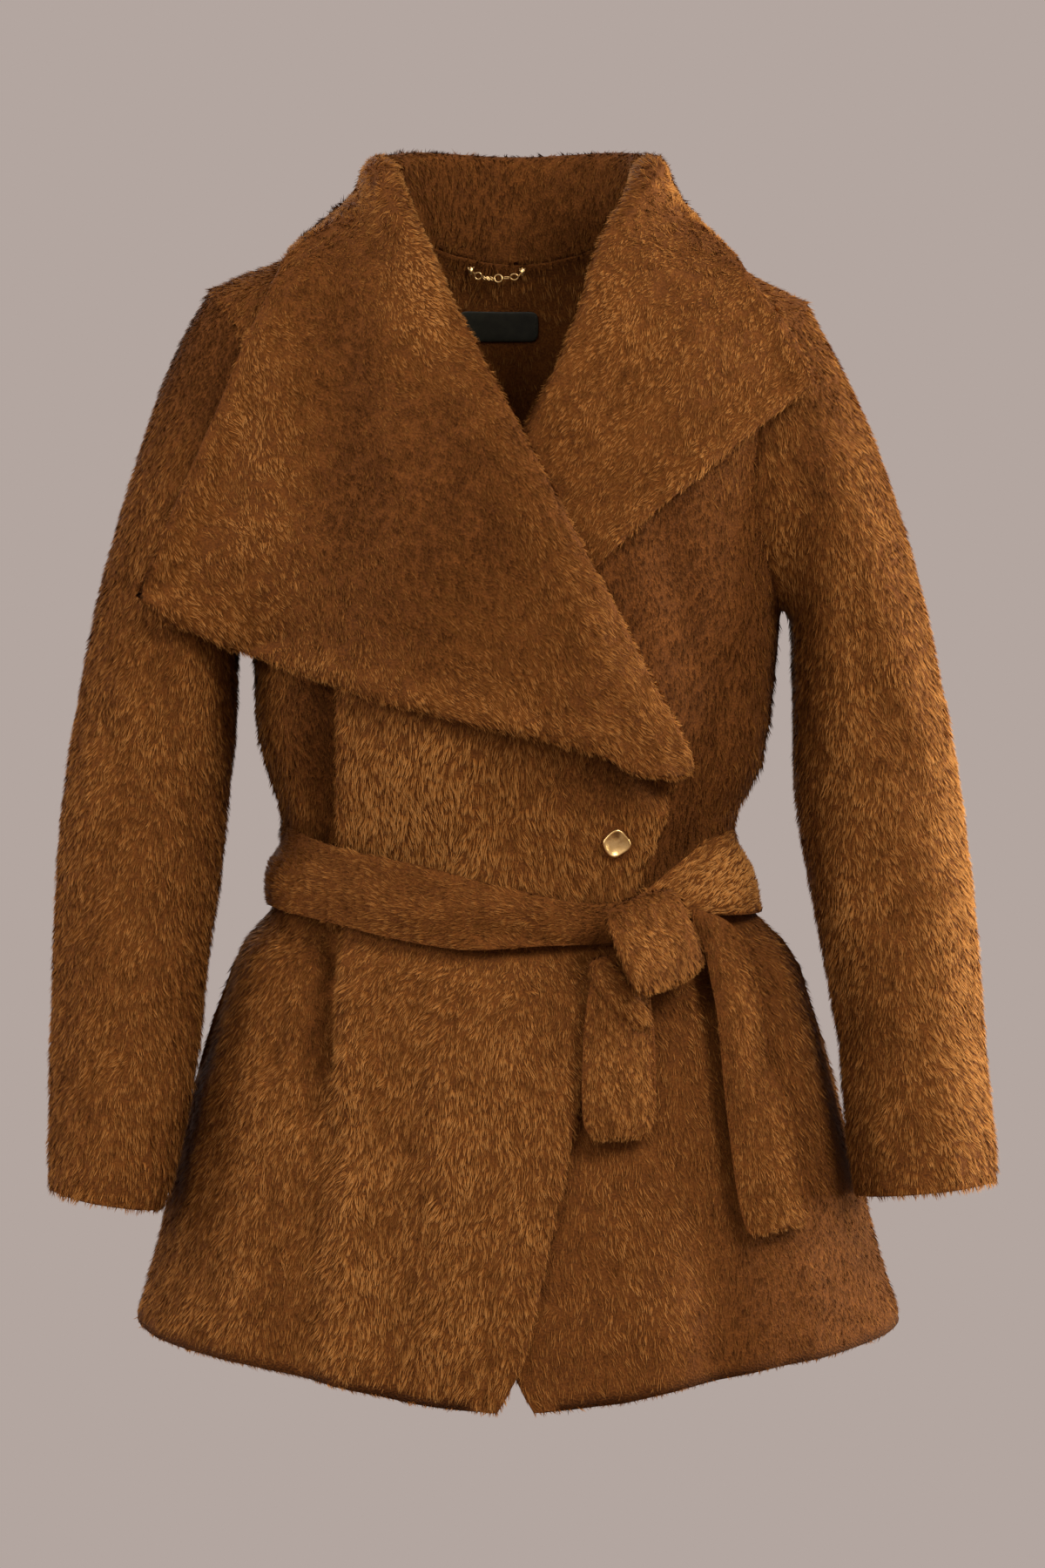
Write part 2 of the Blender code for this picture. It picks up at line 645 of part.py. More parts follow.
def back_points():
    """The back: columns from the wearer's left side round to the right, rows up."""
    halves = []
    for side in (1, -1):
        half = np.zeros((BACK_HALF_COLUMNS + 1, LAST_ROW + 1, 3))
        neck_part = 1 - NECK_COLUMNS / BACK_HALF_COLUMNS
        middle_angle = side * math.pi
        for row in range(LAST_ROW + 1):
            _side, _front, back_z, theta = ROWS[row]
            angle_side, z_side = side_of_row(side, row, True)
            if theta is None:
                angle_side = side * math.pi / 2
            elif side < 0:
                angle_side = angle_side - 2 * math.pi
            top_share = 0.0 if row <= MIDDLE_ROW else math.cos(theta)
            neck_angle = side * math.pi - angle_at(side * NECK_X, 0.0)
            for column in range(BACK_HALF_COLUMNS + 1):
                t = column / BACK_HALF_COLUMNS
                angle = mix(angle_side, middle_angle, t)
                z = mix(z_side, back_z, t)
                if row > MIDDLE_ROW:
                    if t <= neck_part:
                        goal = mix(angle_side, neck_angle, t / neck_part)
                    else:
                        part = ((t - neck_part) / (1 - neck_part)) ** NECK_CROWD
                        goal = mix(neck_angle, middle_angle, part)
                    angle = mix(angle, goal, top_share)
                    x = read_x(angle, z)
                    if t <= neck_part:
                        top = shoulder_level(x)
                    else:
                        top = -NECK_DROP * (1 - (x / NECK_X) ** 2)
                    z = mix(mix(ROWS[MIDDLE_ROW][0], ROWS[MIDDLE_ROW][2], t), top, top_share)
                point = body_point(angle, z)
                if row == LAST_ROW and t <= neck_part + 1e-6:
                    point[1] = 0.0
                edge = smooth_step(t / SEAM_FADE)
                point[1] -= fold_depth(FOLDS_BACK, point[0], point[2]) * edge
                half[column, row] = seam_shift(point, 1)
        halves.append(half)
    return np.concatenate((halves[0], halves[1][-2::-1]))


# ---------------------------------------------------------------- cloth lying on cloth


class DepthMap:
    """A map over x and level of how far forward pieces reach, spread and smoothed."""

    CELL = 0.005
    X_START = -0.40
    Z_START = -0.85
    COLUMNS = 161
    ROWS = 197
    NOTHING = -0.02

    def __init__(self, values, reach):
        spread = self.window(values, reach, np.maximum)
        self.values = self.window(spread, reach, np.add) / (2 * reach + 1) ** 2

    @classmethod
    def cast(cls, trees):
        """The greatest reach forward in each cell, or NaN where nothing is met."""
        found = np.full((cls.COLUMNS, cls.ROWS), np.nan)
        for i in range(cls.COLUMNS):
            for j in range(cls.ROWS):
                start = Vector((cls.X_START + i * cls.CELL, -1.0, cls.Z_START + j * cls.CELL))
                for tree in trees:
                    hit = tree.ray_cast(start, Vector((0, 1, 0)))[0]
                    if hit is not None:
                        found[i, j] = np.fmax(found[i, j], -hit.y)
        return found

    @staticmethod
    def window(values, reach, combine):
        """Combine each cell with its neighbours within reach."""
        for axis in (0, 1):
            margin = [(0, 0), (0, 0)]
            margin[axis] = (reach, reach)
            padded = np.pad(values, margin, mode="edge")
            size = values.shape[axis]
            result = None
            for shift in range(2 * reach + 1):
                part = np.take(padded, range(shift, shift + size), axis=axis)
                result = part.copy() if result is None else combine(result, part)
            values = result
        return values

    def at(self, x, z):
        u = (x - self.X_START) / self.CELL
        v = (z - self.Z_START) / self.CELL
        i = int(min(max(u, 0), self.COLUMNS - 2))
        j = int(min(max(v, 0), self.ROWS - 2))
        s = min(max(u - i, 0.0), 1.0)
        t = min(max(v - j, 0.0), 1.0)
        low = mix(self.values[i, j], self.values[i + 1, j], s)
        high = mix(self.values[i, j + 1], self.values[i + 1, j + 1], s)
        return mix(low, high, t)


def reach_map(objects, reach=3):
    """How far forward these pieces reach."""
    found = DepthMap.cast([tree_of(ob) for ob in objects])
    return DepthMap(np.where(np.isnan(found), DepthMap.NOTHING, found), reach)


def lift(point, needed):
    """Move a point forward until it clears what lies below, with a soft change."""
    soft = 0.003
    more = (needed + point[1]) / soft
    if more > 6:
        point[1] = -needed
    elif more > -6:
        point[1] -= soft * math.log1p(math.exp(more))


def lay_over(grid, objects, clearance, reach):
    """Raise a front by what lies between it and its own first form."""
    verts, faces = grid_faces(grid)
    own = DepthMap.cast([BVHTree.FromPolygons(verts, faces)])
    below = DepthMap.cast([tree_of(ob) for ob in objects])
    extra = np.where(np.isnan(below) | np.isnan(own), 0.0, below - own + clearance)
    raised = DepthMap(np.maximum(extra, 0.0), reach)
    for point in grid.reshape(-1, 3):
        share = smooth_step((-point[1] - 0.01) / 0.03)
        point[1] -= raised.at(point[0], point[2]) * share
    return grid


def grid_faces(points):
    """The points and faces of a grid."""
    across, up = points.shape[:2]
    verts = [Vector(tuple(v)) for v in points.reshape(-1, 3)]
    faces = []
    for i in range(across - 1):
        for j in range(up - 1):
            a = i * up + j
            faces.append((a, a + up, a + up + 1, a + 1))
    return verts, faces


# ---------------------------------------------------------------- panels and sleeves


def make_wall(name, points, normals, material, collection):
    """A panel: its outer points and a wall's thickness inwards."""
    mesh = wall_mesh(name, points, points - normals * WALL)
    return add_object(name, mesh, material, collection)


def body_normal(point):
    """The body form's own normal at a point on an armhole."""
    if abs(point[1]) < SAME and point[2] > ARMHOLE_MIDDLE_Z:
        side = -1 if point[0] < 0 else 1
        return unit(np.array((side * SHOULDER_SLOPE[side], 0.0, 1.0)))
    step = 0.002
    angle = angle_at(point[0], point[2], point[1] > 0)
    across = body_point(angle + step, point[2]) - body_point(angle - step, point[2])
    up = body_point(angle, point[2] + step) - body_point(angle, point[2] - step)
    return unit(np.cross(across, up))


def panel_normals(points, side):
    """Normals of a panel, exact along armholes and shoulder seams: side 0 is the back."""
    normals = flatten_at_seams(points, grid_normals(points))
    columns = {1: (-1,), -1: (0,), 0: (0, -1)}[side]
    for column in columns:
        for row in range(UNDERARM_ROW, LAST_ROW + 1):
            normals[column, row] = body_normal(points[column, row])
    for column in range(len(points)):
        if abs(points[column, LAST_ROW, 1]) < SAME:
            normals[column, LAST_ROW] = body_normal(points[column, LAST_ROW])
    return flatten_at_seams(points, normals)


def armhole_ring(side, normals_from):
    """The armhole as a ring of points and normals, read from the front's and back's edges."""
    front, front_normals, back, back_normals = normals_from
    front_edge = 0 if side < 0 else -1
    back_edge = -1 if side < 0 else 0
    points = []
    normals = []
    for row in range(LAST_ROW, UNDERARM_ROW - 1, -1):
        points.append(front[front_edge, row].copy())
        normals.append(front_normals[front_edge, row])
    for row in range(UNDERARM_ROW + 1, LAST_ROW):
        points.append(back[back_edge, row].copy())
        normals.append(back_normals[back_edge, row])
    return np.array(points), np.array(normals)


def sleeve_grid(side, ring):
    """Rings from the armhole to the cuff: first index round, second index towards the cuff."""
    table = SLEEVE_ROWS[side]
    count = len(ring)
    grid = np.zeros((count, SLEEVE_RINGS + 1, 3))
    half = LAST_ROW - UNDERARM_ROW
    thetas = []
    for k in range(count):
        row = LAST_ROW - k if k <= half else UNDERARM_ROW + (k - half)
        theta = ROWS[row][3] if ROWS[row][3] is not None else math.pi
        thetas.append(theta if k <= half else -theta)
    for step in range(SLEEVE_RINGS + 1):
        part = step / SLEEVE_RINGS
        along = max((part - 0.02) / 0.98, 0.0)
        values = [along_rows(table, along, c) for c in range(7)]
        outer = np.array((side * values[0], 0.0, values[1]))
        inner = np.array((side * values[2], 0.0, values[3]))
        middle = (outer + inner) / 2 + np.array((0.0, -values[6], 0.0))
        arm = (outer - inner) / 2
        blend = smooth_step(1 - part / ARMHOLE_BLEND)
        for k, theta in enumerate(thetas):
            deep = values[4] if math.sin(theta) > 0 else values[5]
            oval = middle + arm * math.cos(theta) + np.array((0, -deep * math.sin(theta), 0))
            grid[k, step] = mix(oval, ring[k], blend)
    return grid


def make_sleeve(side, name, panels, material, collection):
    """One sleeve, from the armhole's ring to the open cuff."""
    ring, ring_normals = armhole_ring(side, panels)
    grid = sleeve_grid(side, ring)
    around = np.roll(ring, -1, axis=0) - np.roll(ring, 1, axis=0)
    away = side * np.cross(ring_normals, around)
    grid[:, 0] = ring + away / np.linalg.norm(away, axis=1, keepdims=True) * CURVED_GAP
    normals = grid_normals(grid, closed=True)
    if np.dot(normals[0, 5], grid[0, 5] - grid[:, 5].mean(axis=0)) < 0:
        normals = -normals
    normals[:, 0] = ring_normals
    mesh = wall_mesh(name, grid, grid - normals * WALL, closed=True)
    return add_object(name, mesh, material, collection)


# ---------------------------------------------------------------- collar and lapels


def bezier(a, b, c, d, t):
    """A point on a curve from a to d, which b and c pull."""
    s = 1 - t
    return a * s**3 + 3 * b * s * s * t + 3 * c * s * t * t + d * t**3


def collar_profile(start, across, outward, up, stand, radius, edge, edge_tangent, straight):
    """From the seam up the stand, over the roll and down the fall to the edge."""
    rise = unit(mix(across, up, 0.85))
    top = start + rise * stand
    points = []
    for k in range(STAND_STEPS):
        t = k / STAND_STEPS
        points.append(bezier(start, start + across * stand * 0.35,
                             top - rise * stand * 0.35, top, t))
    away = unit(outward - rise * np.dot(outward, rise))
    centre = top + away * radius
    for k in range(ROLL_STEPS):
        turn = math.pi * k / ROLL_STEPS
        points.append(centre - away * radius * math.cos(turn) + rise * radius * math.sin(turn))
    leave = centre + away * radius
    reach = np.linalg.norm(edge - leave)
    edge_tangent = unit(mix(edge_tangent, unit(edge - leave), straight))
    for k in range(FALL_STEPS + 1):
        t = k / FALL_STEPS
        points.append(bezier(leave, leave - rise * reach * 0.33,
                             edge - edge_tangent * reach * 0.33, edge, t))
    return np.array(points)


def strip_stations(side, front, front_normals):
    """Stations of one lapel: seam point inside and outside the wall, and the profile's sizes."""
    edge_column = -1 if side < 0 else 0
    stations = []
    for k in range(LAPEL_STATIONS + 1):
        row = BREAK_ROW + k
        outside = front[edge_column, row]
        normal = front_normals[edge_column, row]
        before = front[edge_column, max(row - 1, BREAK_ROW)]
        after = front[edge_column, min(row + 1, LAST_ROW)]
        along = unit(after - before)
        across = unit(np.cross(along, normal)) * -side
        _level, stand, radius, lean, over_x, over_z, under_x, under_z = LAPEL[k]
        up = unit(mix(across, np.array((0.0, 0.0, 1.0)), lean))
        edge_x, edge_z = (over_x, over_z) if side < 0 else (under_x, under_z)
        stations.append({"outside": outside, "normal": normal, "across": across, "up": up,
                         "stand": stand, "radius": radius, "lean": lean,
                         "edge": (-side * edge_x, edge_z)})
    return stations


def lapel_grid(side, front, front_normals, below):
    """Face side of one lapel, and the normals towards its under side."""
    stations = strip_stations(side, front, front_normals)
    rows = []
    for k, s in enumerate(stations):
        start = s["outside"] - s["normal"] * WALL + s["across"] * CURVED_GAP
        edge_x, edge_z = s["edge"]
        edge = np.array((edge_x, 0.0, edge_z))
        if k < LAPEL_STATIONS:
            edge[1] = -(below.at(edge_x, edge_z) + WALL + LAY_GAP)
        flat = np.array((edge[0] - start[0], 0.0, edge[2] - start[2]))
        tangent = unit(flat)
        profile = collar_profile(start, s["across"], s["normal"], s["up"], s["stand"],
                                 s["radius"], edge, tangent, s["lean"])
        for i in range(STAND_STEPS + ROLL_STEPS, len(profile)):
            point = profile[i]
            if point[1] < -0.012 and k < LAPEL_STATIONS:
                lift(point, below.at(point[0], point[2]) + WALL + LAY_GAP)
        rows.append(profile)
    return np.array(rows), stations


def under_normals(grid, first):
    """Normals from the face side to the under side; the seam's own come from the panel."""
    normals = grid_normals(grid)
    if np.dot(normals[len(grid) // 2, 0], first[len(grid) // 2]) < 0:
        normals = -normals
    for _ in range(2):
        around = normals.copy()
        around[1:-1] += normals[:-2] + normals[2:]
        normals = around / np.linalg.norm(around, axis=2, keepdims=True)
    lies = np.array([[smooth_step((-p[1] - LIES_FROM) / LIES_OVER) for p in row] for row in grid])
    lies[:, :STAND_STEPS + ROLL_STEPS] = 0.0
    lies = lies[:, :, None] * LIES_SHARE
    normals = normals * (1 - lies) + np.array((0.0, 1.0, 0.0)) * lies
    normals /= np.linalg.norm(normals, axis=2, keepdims=True)
    for k, normal in enumerate(first):
        low = np.linalg.norm(grid[k, STAND_STEPS] - grid[k, 0]) < LOW_STAND
        normals[k, :STAND_STEPS + 1 if low else 1] = normal
    return normals


def strip_wall(name, grid, normals, material, collection):
    """A wall from the face side of a collar strip towards its under side."""
    under = grid + normals * WALL
    return add_object(name, wall_mesh(name, grid, under), material, collection)


def make_lapel(side, name, panel, below, material, collection):
    """One lapel, turned out over what lies below."""
    front, front_normals = panel
    grid, stations = lapel_grid(side, front, front_normals, below)
    first = np.array([s["normal"] for s in stations])
    normals = under_normals(grid, first)
    ob = strip_wall(name, grid, normals, material, collection)
    return ob, grid, normals


def make_collar(back, back_normals, lapels, material, collection):
    """The back collar, from one shoulder seam round the neck to the other."""
    over_grid, over_normals = lapels[-1]
    under_grid, under_normals_grid = lapels[1]
    rows = [over_grid[-1]]
    firsts = [over_normals[-1, 0]]
    neck_rows = []
    middle = BACK_HALF_COLUMNS
    for column in range(middle + NECK_COLUMNS, middle - NECK_COLUMNS - 1, -1):
        neck_rows.append((back[column, -1], back_normals[column, -1]))
    count = len(neck_rows)
    for k in range(1, count - 1):
        outside, normal = neck_rows[k]
        before = neck_rows[k - 1][0]
        after = neck_rows[k + 1][0]
        along = unit(after - before)
        across = unit(np.cross(normal, along))
        if across[2] < 0:
            across = -across
        part = 1 - abs(2 * k / (count - 1) - 1)
        sign = -1 if k < (count - 1) / 2 else 1
        stand = read_table(BACK_COLLAR, part, 1)
        edge = np.array((sign * read_table(BACK_COLLAR, part, 2),
                         read_table(BACK_COLLAR, part, 3), read_table(BACK_COLLAR, part, 4)))
        start = outside - normal * WALL + across * CURVED_GAP
        up = np.array((0.0, 0.0, 1.0))
        flat = np.array((edge[0] - start[0], edge[1] - start[1], 0.0))
        tangent = unit(unit(flat) * 0.5 - up)
        away = unit(np.array((normal[0], normal[1], 0.0)))
        rows.append(collar_profile(start, across, away, up, stand, LAPEL[-1, 2], edge,
                                   tangent, 0.7))
        firsts.append(normal)
    rows.append(under_grid[-1])
    firsts.append(under_normals_grid[-1, 0])
    grid = np.array(rows)
    normals = under_normals(grid, np.array(firsts))
    normals[0] = over_normals[-1]
    normals[-1] = under_normals_grid[-1]
    for end, inside in ((0, 1), (-1, -2)):
        step = grid[inside] - grid[end]
        grid[end] += step / np.linalg.norm(step, axis=1, keepdims=True) * SEAM_GAP
    return grid, normals


# ---------------------------------------------------------------- belt


def belt_grid(objects):
    """Sections of the belt: first index round the waist, second index round the section."""
    trees = [tree_of(ob) for ob in objects]
    section = []
    for k in range(8):
        turn = 2 * math.pi * (k + 0.5) / 8
        section.append((math.copysign(abs(math.cos(turn)) ** 0.45, math.cos(turn)),
                        math.copysign(abs(math.sin(turn)) ** 0.75, math.sin(turn))))
    heights = sorted({round(tall, 6) for tall, _thick in section})
    reach = np.zeros((BELT_STATIONS, len(heights)))
    frames = []
    for k in range(BELT_STATIONS):
        degrees = -180 + 360 * k / BELT_STATIONS
        angle = math.radians(degrees)
        level = read_table(BELT, degrees, 1)
        half_height = read_table(BELT, degrees, 2) / 2
        out = np.array((math.sin(angle), -math.cos(angle), 0.0))
        frames.append((out, level, half_height))
        for m, tall in enumerate(heights):
            for near in (-BELT_SEARCH, 0.0, BELT_SEARCH):
                z = level + tall * half_height + near
                reach[k, m] = max(reach[k, m], reach_along(trees, out, z))
    widest = np.maximum(np.maximum(np.roll(reach, 1, axis=0), np.roll(reach, -1, axis=0)), reach)
    even = (np.roll(widest, 1, axis=0) + widest * 2 + np.roll(widest, -1, axis=0)) / 4
    even = np.maximum(even, reach)
    grid = np.zeros((BELT_STATIONS, len(section), 3))
    for k, (out, level, half_height) in enumerate(frames):
        for m, (tall, thick) in enumerate(section):
            base = even[k, heights.index(round(tall, 6))]
            radius = base + LAY_GAP + BELT_WALL / 2 * (1 + thick)
            grid[k, m] = out * radius + np.array((0, 0, level + tall * half_height))
    return grid


def reach_along(trees, out, z):
    """How far from the middle the pieces reach at a level, in a direction."""
    start = Vector(tuple(out * 0.5)) + Vector((0, 0, z))
    reach = 0.0
    for tree in trees:
        hit = tree.ray_cast(start, Vector(tuple(-out)))[0]
        if hit is not None:
            reach = max(reach, hit.x * out[0] + hit.y * out[1])
    return reach


def tube_mesh(name, grid, closed_along, capped):
    """A loft through closed sections: first index along, second index round."""
    along, around = grid.shape[:2]
    verts = [tuple(v) for v in grid.reshape(-1, 3)]
    faces = []
    last = along if closed_along else along - 1
    for i in range(last):
        for j in range(around):
            a = i * around + j
            b = i * around + (j + 1) % around
            c = ((i + 1) % along) * around + (j + 1) % around
            d = ((i + 1) % along) * around + j
            faces.append([a, b, c, d])
    if capped:
        faces.append(list(range(around))[::-1])
        faces.append([(along - 1) * around + j for j in range(around)])
    mesh = bpy.data.meshes.new(name)
    mesh.from_pydata(verts, [], faces)
    mesh.update()
    fix_direction(mesh)
    return mesh


def strip_end(name, table, below, steps, material, collection):
    """A hanging end of the belt: a soft slab laid on the skirt."""
    grid = np.zeros((steps + 1, len(END_SECTION), 3))
    depths = []
    for k in range(steps + 1):
        part = k / steps
        values = [along_rows(table, part, c) for c in range(4)]
        left = np.array((values[0], values[1]))
        right = np.array((values[2], values[3]))
        places = [mix(left, right, (across + 1) / 2) for across, _ in END_SECTION]
        highest = [below.at(x, z) for x, z in places]
        depths.append((places, highest))
    for k, (places, highest) in enumerate(depths):
        for m, (x, z) in enumerate(places):
            thick = BELT_WALL * (1 + END_SECTION[m][1]) / 2
            thick = mix(BELT_WALL / 2, thick, TIP_SHARE if k in (0, steps) else 1.0)
            grid[k, m] = (x, -(highest[m] + LAY_GAP + thick), z)
    return add_object(name, tube_mesh(name, grid, False, True), material, collection)


def knot_plane(below):
    """The plane that the knot lies on: its depth at the knot's middle, and its two slopes."""
    rows = []
    for across in np.linspace(-1, 1, KNOT_FEELERS):
        for up in np.linspace(-1, 1, KNOT_FEELERS):
            if across * across + up * up <= KNOT_FELT:
                x, z = across * KNOT_HALF[0], up * KNOT_HALF[2]
                rows.append((1.0, x, z, below.at(KNOT[0] + x, KNOT[1] + z)))
    rows = np.array(rows)
    plane = np.linalg.lstsq(rows[:, :3], rows[:, 3], rcond=None)[0]
    plane[0] += (rows[:, 3] - rows[:, :3] @ plane).max() + LAY_GAP
    return plane


def knot_grid(plane):
    """The knot: a soft squarish lump with the wrap's two grooves across it."""
    rings = 12
    around = 18
    half_x, half_y, half_z = KNOT_HALF
    grid = np.zeros((rings + 1, around, 3))
    for i in range(rings + 1):
        polar = math.pi * (0.04 + 0.92 * i / rings)
        for j in range(around):
            turn = 2 * math.pi * j / around
            flat_x = math.sin(polar) * math.cos(turn)
            flat_y = math.sin(polar) * math.sin(turn)
            flat_z = math.cos(polar)
            x = half_x * math.copysign(abs(flat_x) ** 0.75, flat_x)
            y = half_y * math.copysign(abs(flat_y) ** 0.75, flat_y)
            z = half_z * math.copysign(abs(flat_z) ** 0.85, flat_z)
            slant = (x * 0.82 + z * 0.57) / half_x
            groove = math.exp(-((abs(slant) - 0.72) / 0.16) ** 2)
            if y < 0:
                y *= 1 - 0.28 * groove
            lean_x = x * math.cos(KNOT_LEAN) - z * math.sin(KNOT_LEAN)
            lean_z = x * math.sin(KNOT_LEAN) + z * math.cos(KNOT_LEAN)
            depth = plane[0] + plane[1] * lean_x + plane[2] * lean_z
            grid[i, j] = (KNOT[0] + lean_x, -depth - half_y + y, KNOT[1] + lean_z)
    return grid


# ---------------------------------------------------------------- hard pieces


def button_mesh(name, middle, normal):
    """A cast button: a rounded square with a dished face."""
    around = 20
    rings = ((0.55, 0.0), (0.90, 0.10), (1.0, 0.40), (0.98, 0.75), (0.86, 1.0), (0.66, 0.96),
             (0.40, 0.80), (0.15, 0.72))
    side = unit(np.cross(np.array((0.0, 0.0, 1.0)), normal))
    up = np.cross(normal, side)
    grid = np.zeros((len(rings), around, 3))
    for i, (share, height) in enumerate(rings):
        for j in range(around):
            turn = 2 * math.pi * j / around
            corner = 1 + 0.055 * math.cos(4 * (turn - 0.5)) + 0.03 * math.cos(3 * turn + 0.8)
            radius = BUTTON_RADIUS * share * mix(1.0, corner, share)
            lift = BUTTON_THICK * (height + 0.10 * share * math.sin(2 * turn + 0.6) * (i > 2))
            grid[i, j] = (middle + side * radius * math.cos(turn)
                          + up * radius * math.sin(turn) + normal * lift)
    return tube_mesh(name, grid, False, True)


def ring_mesh(name, centre, half_x, half_z, wire, turn):
    """A closed ring of round wire that faces the front."""
    segments = 12
    sides = 5
    grid = np.zeros((segments, sides, 3))
    for i in range(segments):
        u = 2 * math.pi * i / segments
        for j in range(sides):
            v = 2 * math.pi * j / sides
            x = (half_x - wire + wire * math.cos(v)) * math.cos(u)
            z = (half_z - wire + wire * math.cos(v)) * math.sin(u)
            c, s = math.cos(turn), math.sin(turn)
            grid[i, j] = (centre[0] + x * c - z * s, centre[1] + wire * math.sin(v),
                          centre[2] + x * s + z * c)
    return tube_mesh(name, grid, True, False)


def stud_mesh(name, centre, half_x, half_z, thick):
    """A small pressed end plate, sewn flat on the neck seam."""
    outline = 10
    grid = np.zeros((3, outline, 3))
    for i, (share, y) in enumerate(((0.8, 0.0), (1.0, -0.5), (0.75, -1.0))):
        for j in range(outline):
            turn = 2 * math.pi * j / outline
            grid[i, j] = (centre[0] + half_x * share * math.cos(turn), centre[1] + y * thick,
                          centre[2] + half_z * share * math.sin(turn))
    return tube_mesh(name, grid, False, True)


def label_points(back, back_normals):
    """The label lies on the inner points of the back, moved inward."""
    across_steps = 6
    up_steps = 2
    tree = BVHTree.FromPolygons(*grid_faces(back - back_normals * WALL))
    grid = np.zeros((across_steps + 1, up_steps + 1, 3))
    for i in range(across_steps + 1):
        for j in range(up_steps + 1):
            x = LABEL_MIDDLE[0] + LABEL_SIZE[0] * (i / across_steps - 0.5)
            z = LABEL_MIDDLE[1] + LABEL_SIZE[1] * (j / up_steps - 0.5)
            hit = tree.ray_cast(Vector((x, -0.02, z)), Vector((0, 1, 0)))[0]
            grid[i, j] = (x, hit.y - 2 * SEAM_GAP, z)
    return grid


def make_chain(back_tree, material, collection):
    """The hanger chain below the back neck seam hangs on a line between two sewn end plates."""
    depths = []
    for end, x in zip(("right", "left"), CHAIN_ENDS):
        name = "chain_stud_" + end
        top = Vector((x, -0.02, CHAIN_LEVEL + STUD_SIZE[1]))
        hit = back_tree.ray_cast(top, Vector((0, 1, 0)))[0]
        mesh = stud_mesh(name, (x, hit.y - 3 * SEAM_GAP, CHAIN_LEVEL), *STUD_SIZE)
        add_object(name, mesh, material, collection)
        depths.append(hit.y - CHAIN_CLEAR)
    start = Vector((CHAIN_ENDS[0], depths[0], CHAIN_LEVEL))
    line = Vector((CHAIN_ENDS[1], depths[1], CHAIN_LEVEL)) - start
    for link, x, z, half_x, half_z, wire, turn in CHAIN_LINKS:
        depth = start.y + line.y * (x - start.x) / line.x
        name = "chain_" + link
        mesh = ring_mesh(name, (x, depth, z), half_x, half_z, wire, math.radians(turn))
        ob = add_object(name, mesh, material, collection)
        ob.data.transform(Matrix.Translation(-start))
        ob.location = start
    return start, line.normalized()


# ---------------------------------------------------------------- assembly


def clear_scene():
    """Remove what is in the scene."""
    for ob in list(bpy.data.objects):
        bpy.data.objects.remove(ob, do_unlink=True)


def main():
    clear_scene()
    coat = bpy.data.collections.new("wool_wrap_coat")
    bpy.context.scene.collection.children.link(coat)
    wool = make_material("wool_cloth")
    satin = make_material("label_satin")
    gold = make_material("gold_metal")

    back = back_points()
    back_normals = panel_normals(back, 0)
    back_ob = make_wall("back", back, back_normals, wool, coat)

    under = fold_in(front_points(1), FOLDS_UNDER)
    under_n = panel_normals(under, 1)
    front_left = make_wall("front_left", under, under_n, wool, coat)
    plain_over = front_points(-1)
    plain_n = panel_normals(plain_over, -1)

    sleeve_left = make_sleeve(1, "sleeve_left", (under, under_n, back, back_normals), wool, coat)
    sleeve_right = make_sleeve(-1, "sleeve_right", (plain_over, plain_n, back, back_normals),
                               wool, coat)

    below_under = reach_map([front_left, sleeve_left])
    lapel_left, under_lapel, under_lapel_n = make_lapel(
        1, "lapel_left", (under, under_n), below_under, wool, coat)

    over = fold_in(plain_over, FOLDS_OVER)
    for _ in range(FIT_PASSES):
        over = lay_over(over, [front_left, lapel_left], WALL + LAY_GAP, OVER_REACH)
    over = curl_edge(over)
    over_n = panel_normals(over, -1)
    front_right = make_wall("front_right", over, over_n, wool, coat)

    below_lapel = reach_map([front_right, sleeve_right])
    lapel_right, over_lapel, over_lapel_n = make_lapel(
        -1, "lapel_right", (over, over_n), below_lapel, wool, coat)

    collar_points, collar_normals = make_collar(
        back, back_normals, {-1: (over_lapel, over_lapel_n), 1: (under_lapel, under_lapel_n)},
        wool, coat)
    strip_wall("collar", collar_points, collar_normals, wool, coat)

    belt = add_object("belt", tube_mesh("belt", belt_grid([front_right, front_left, back_ob]),
                                        True, False), wool, coat)
    skirt = reach_map([front_right, front_left, belt])
    short_end = strip_end("belt_end_short", SHORT_END, skirt, 10, wool, coat)
    long_end = strip_end("belt_end_long", LONG_END, skirt, 14, wool, coat)
    below_knot = reach_map([front_right, front_left, belt, short_end, long_end], reach=1)
    add_object("belt_knot",
               tube_mesh("belt_knot", knot_grid(knot_plane(below_knot)), False, True), wool, coat)

    chest = tree_of(front_right)
    hit, hit_normal, _index, _distance = chest.ray_cast(
        Vector((BUTTON_AT[0], -1.0, BUTTON_AT[1])), Vector((0, 1, 0)))
    normal = np.array(hit_normal)
    middle = np.array(hit) + normal * 2 * SEAM_GAP
    add_object("button", button_mesh("button", middle, normal), gold, coat)

    label = label_points(back, back_normals)
    add_object("neck_label", wall_mesh("neck_label", label,
                                       label + np.array((0, -LABEL_THICK, 0))), satin, coat)

    start, direction = make_chain(tree_of(back_ob), gold, coat)
    print("chain swings about", [round(v, 5) for v in start], [round(v, 5) for v in direction])


main()
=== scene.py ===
# %% [markdown]
# # A wool wrap coat with a long brushed pile
# The coat is cut from one heavy cloth: a dense backing with a pile of fibres about six
# millimetres long, brushed so that they lie down along the cloth. The solids of the coat are
# already there, so this lesson dresses them: each cloth piece gets a smoother shell with
# small creases, then a pile of single fibres, and the button, chain and label are remade in
# finer shape.

# %% Load the coat's solids
import math

import bmesh
import bpy
import numpy as np
from mathutils import Matrix, Vector
from mathutils.bvhtree import BVHTree
from mathutils.kdtree import KDTree


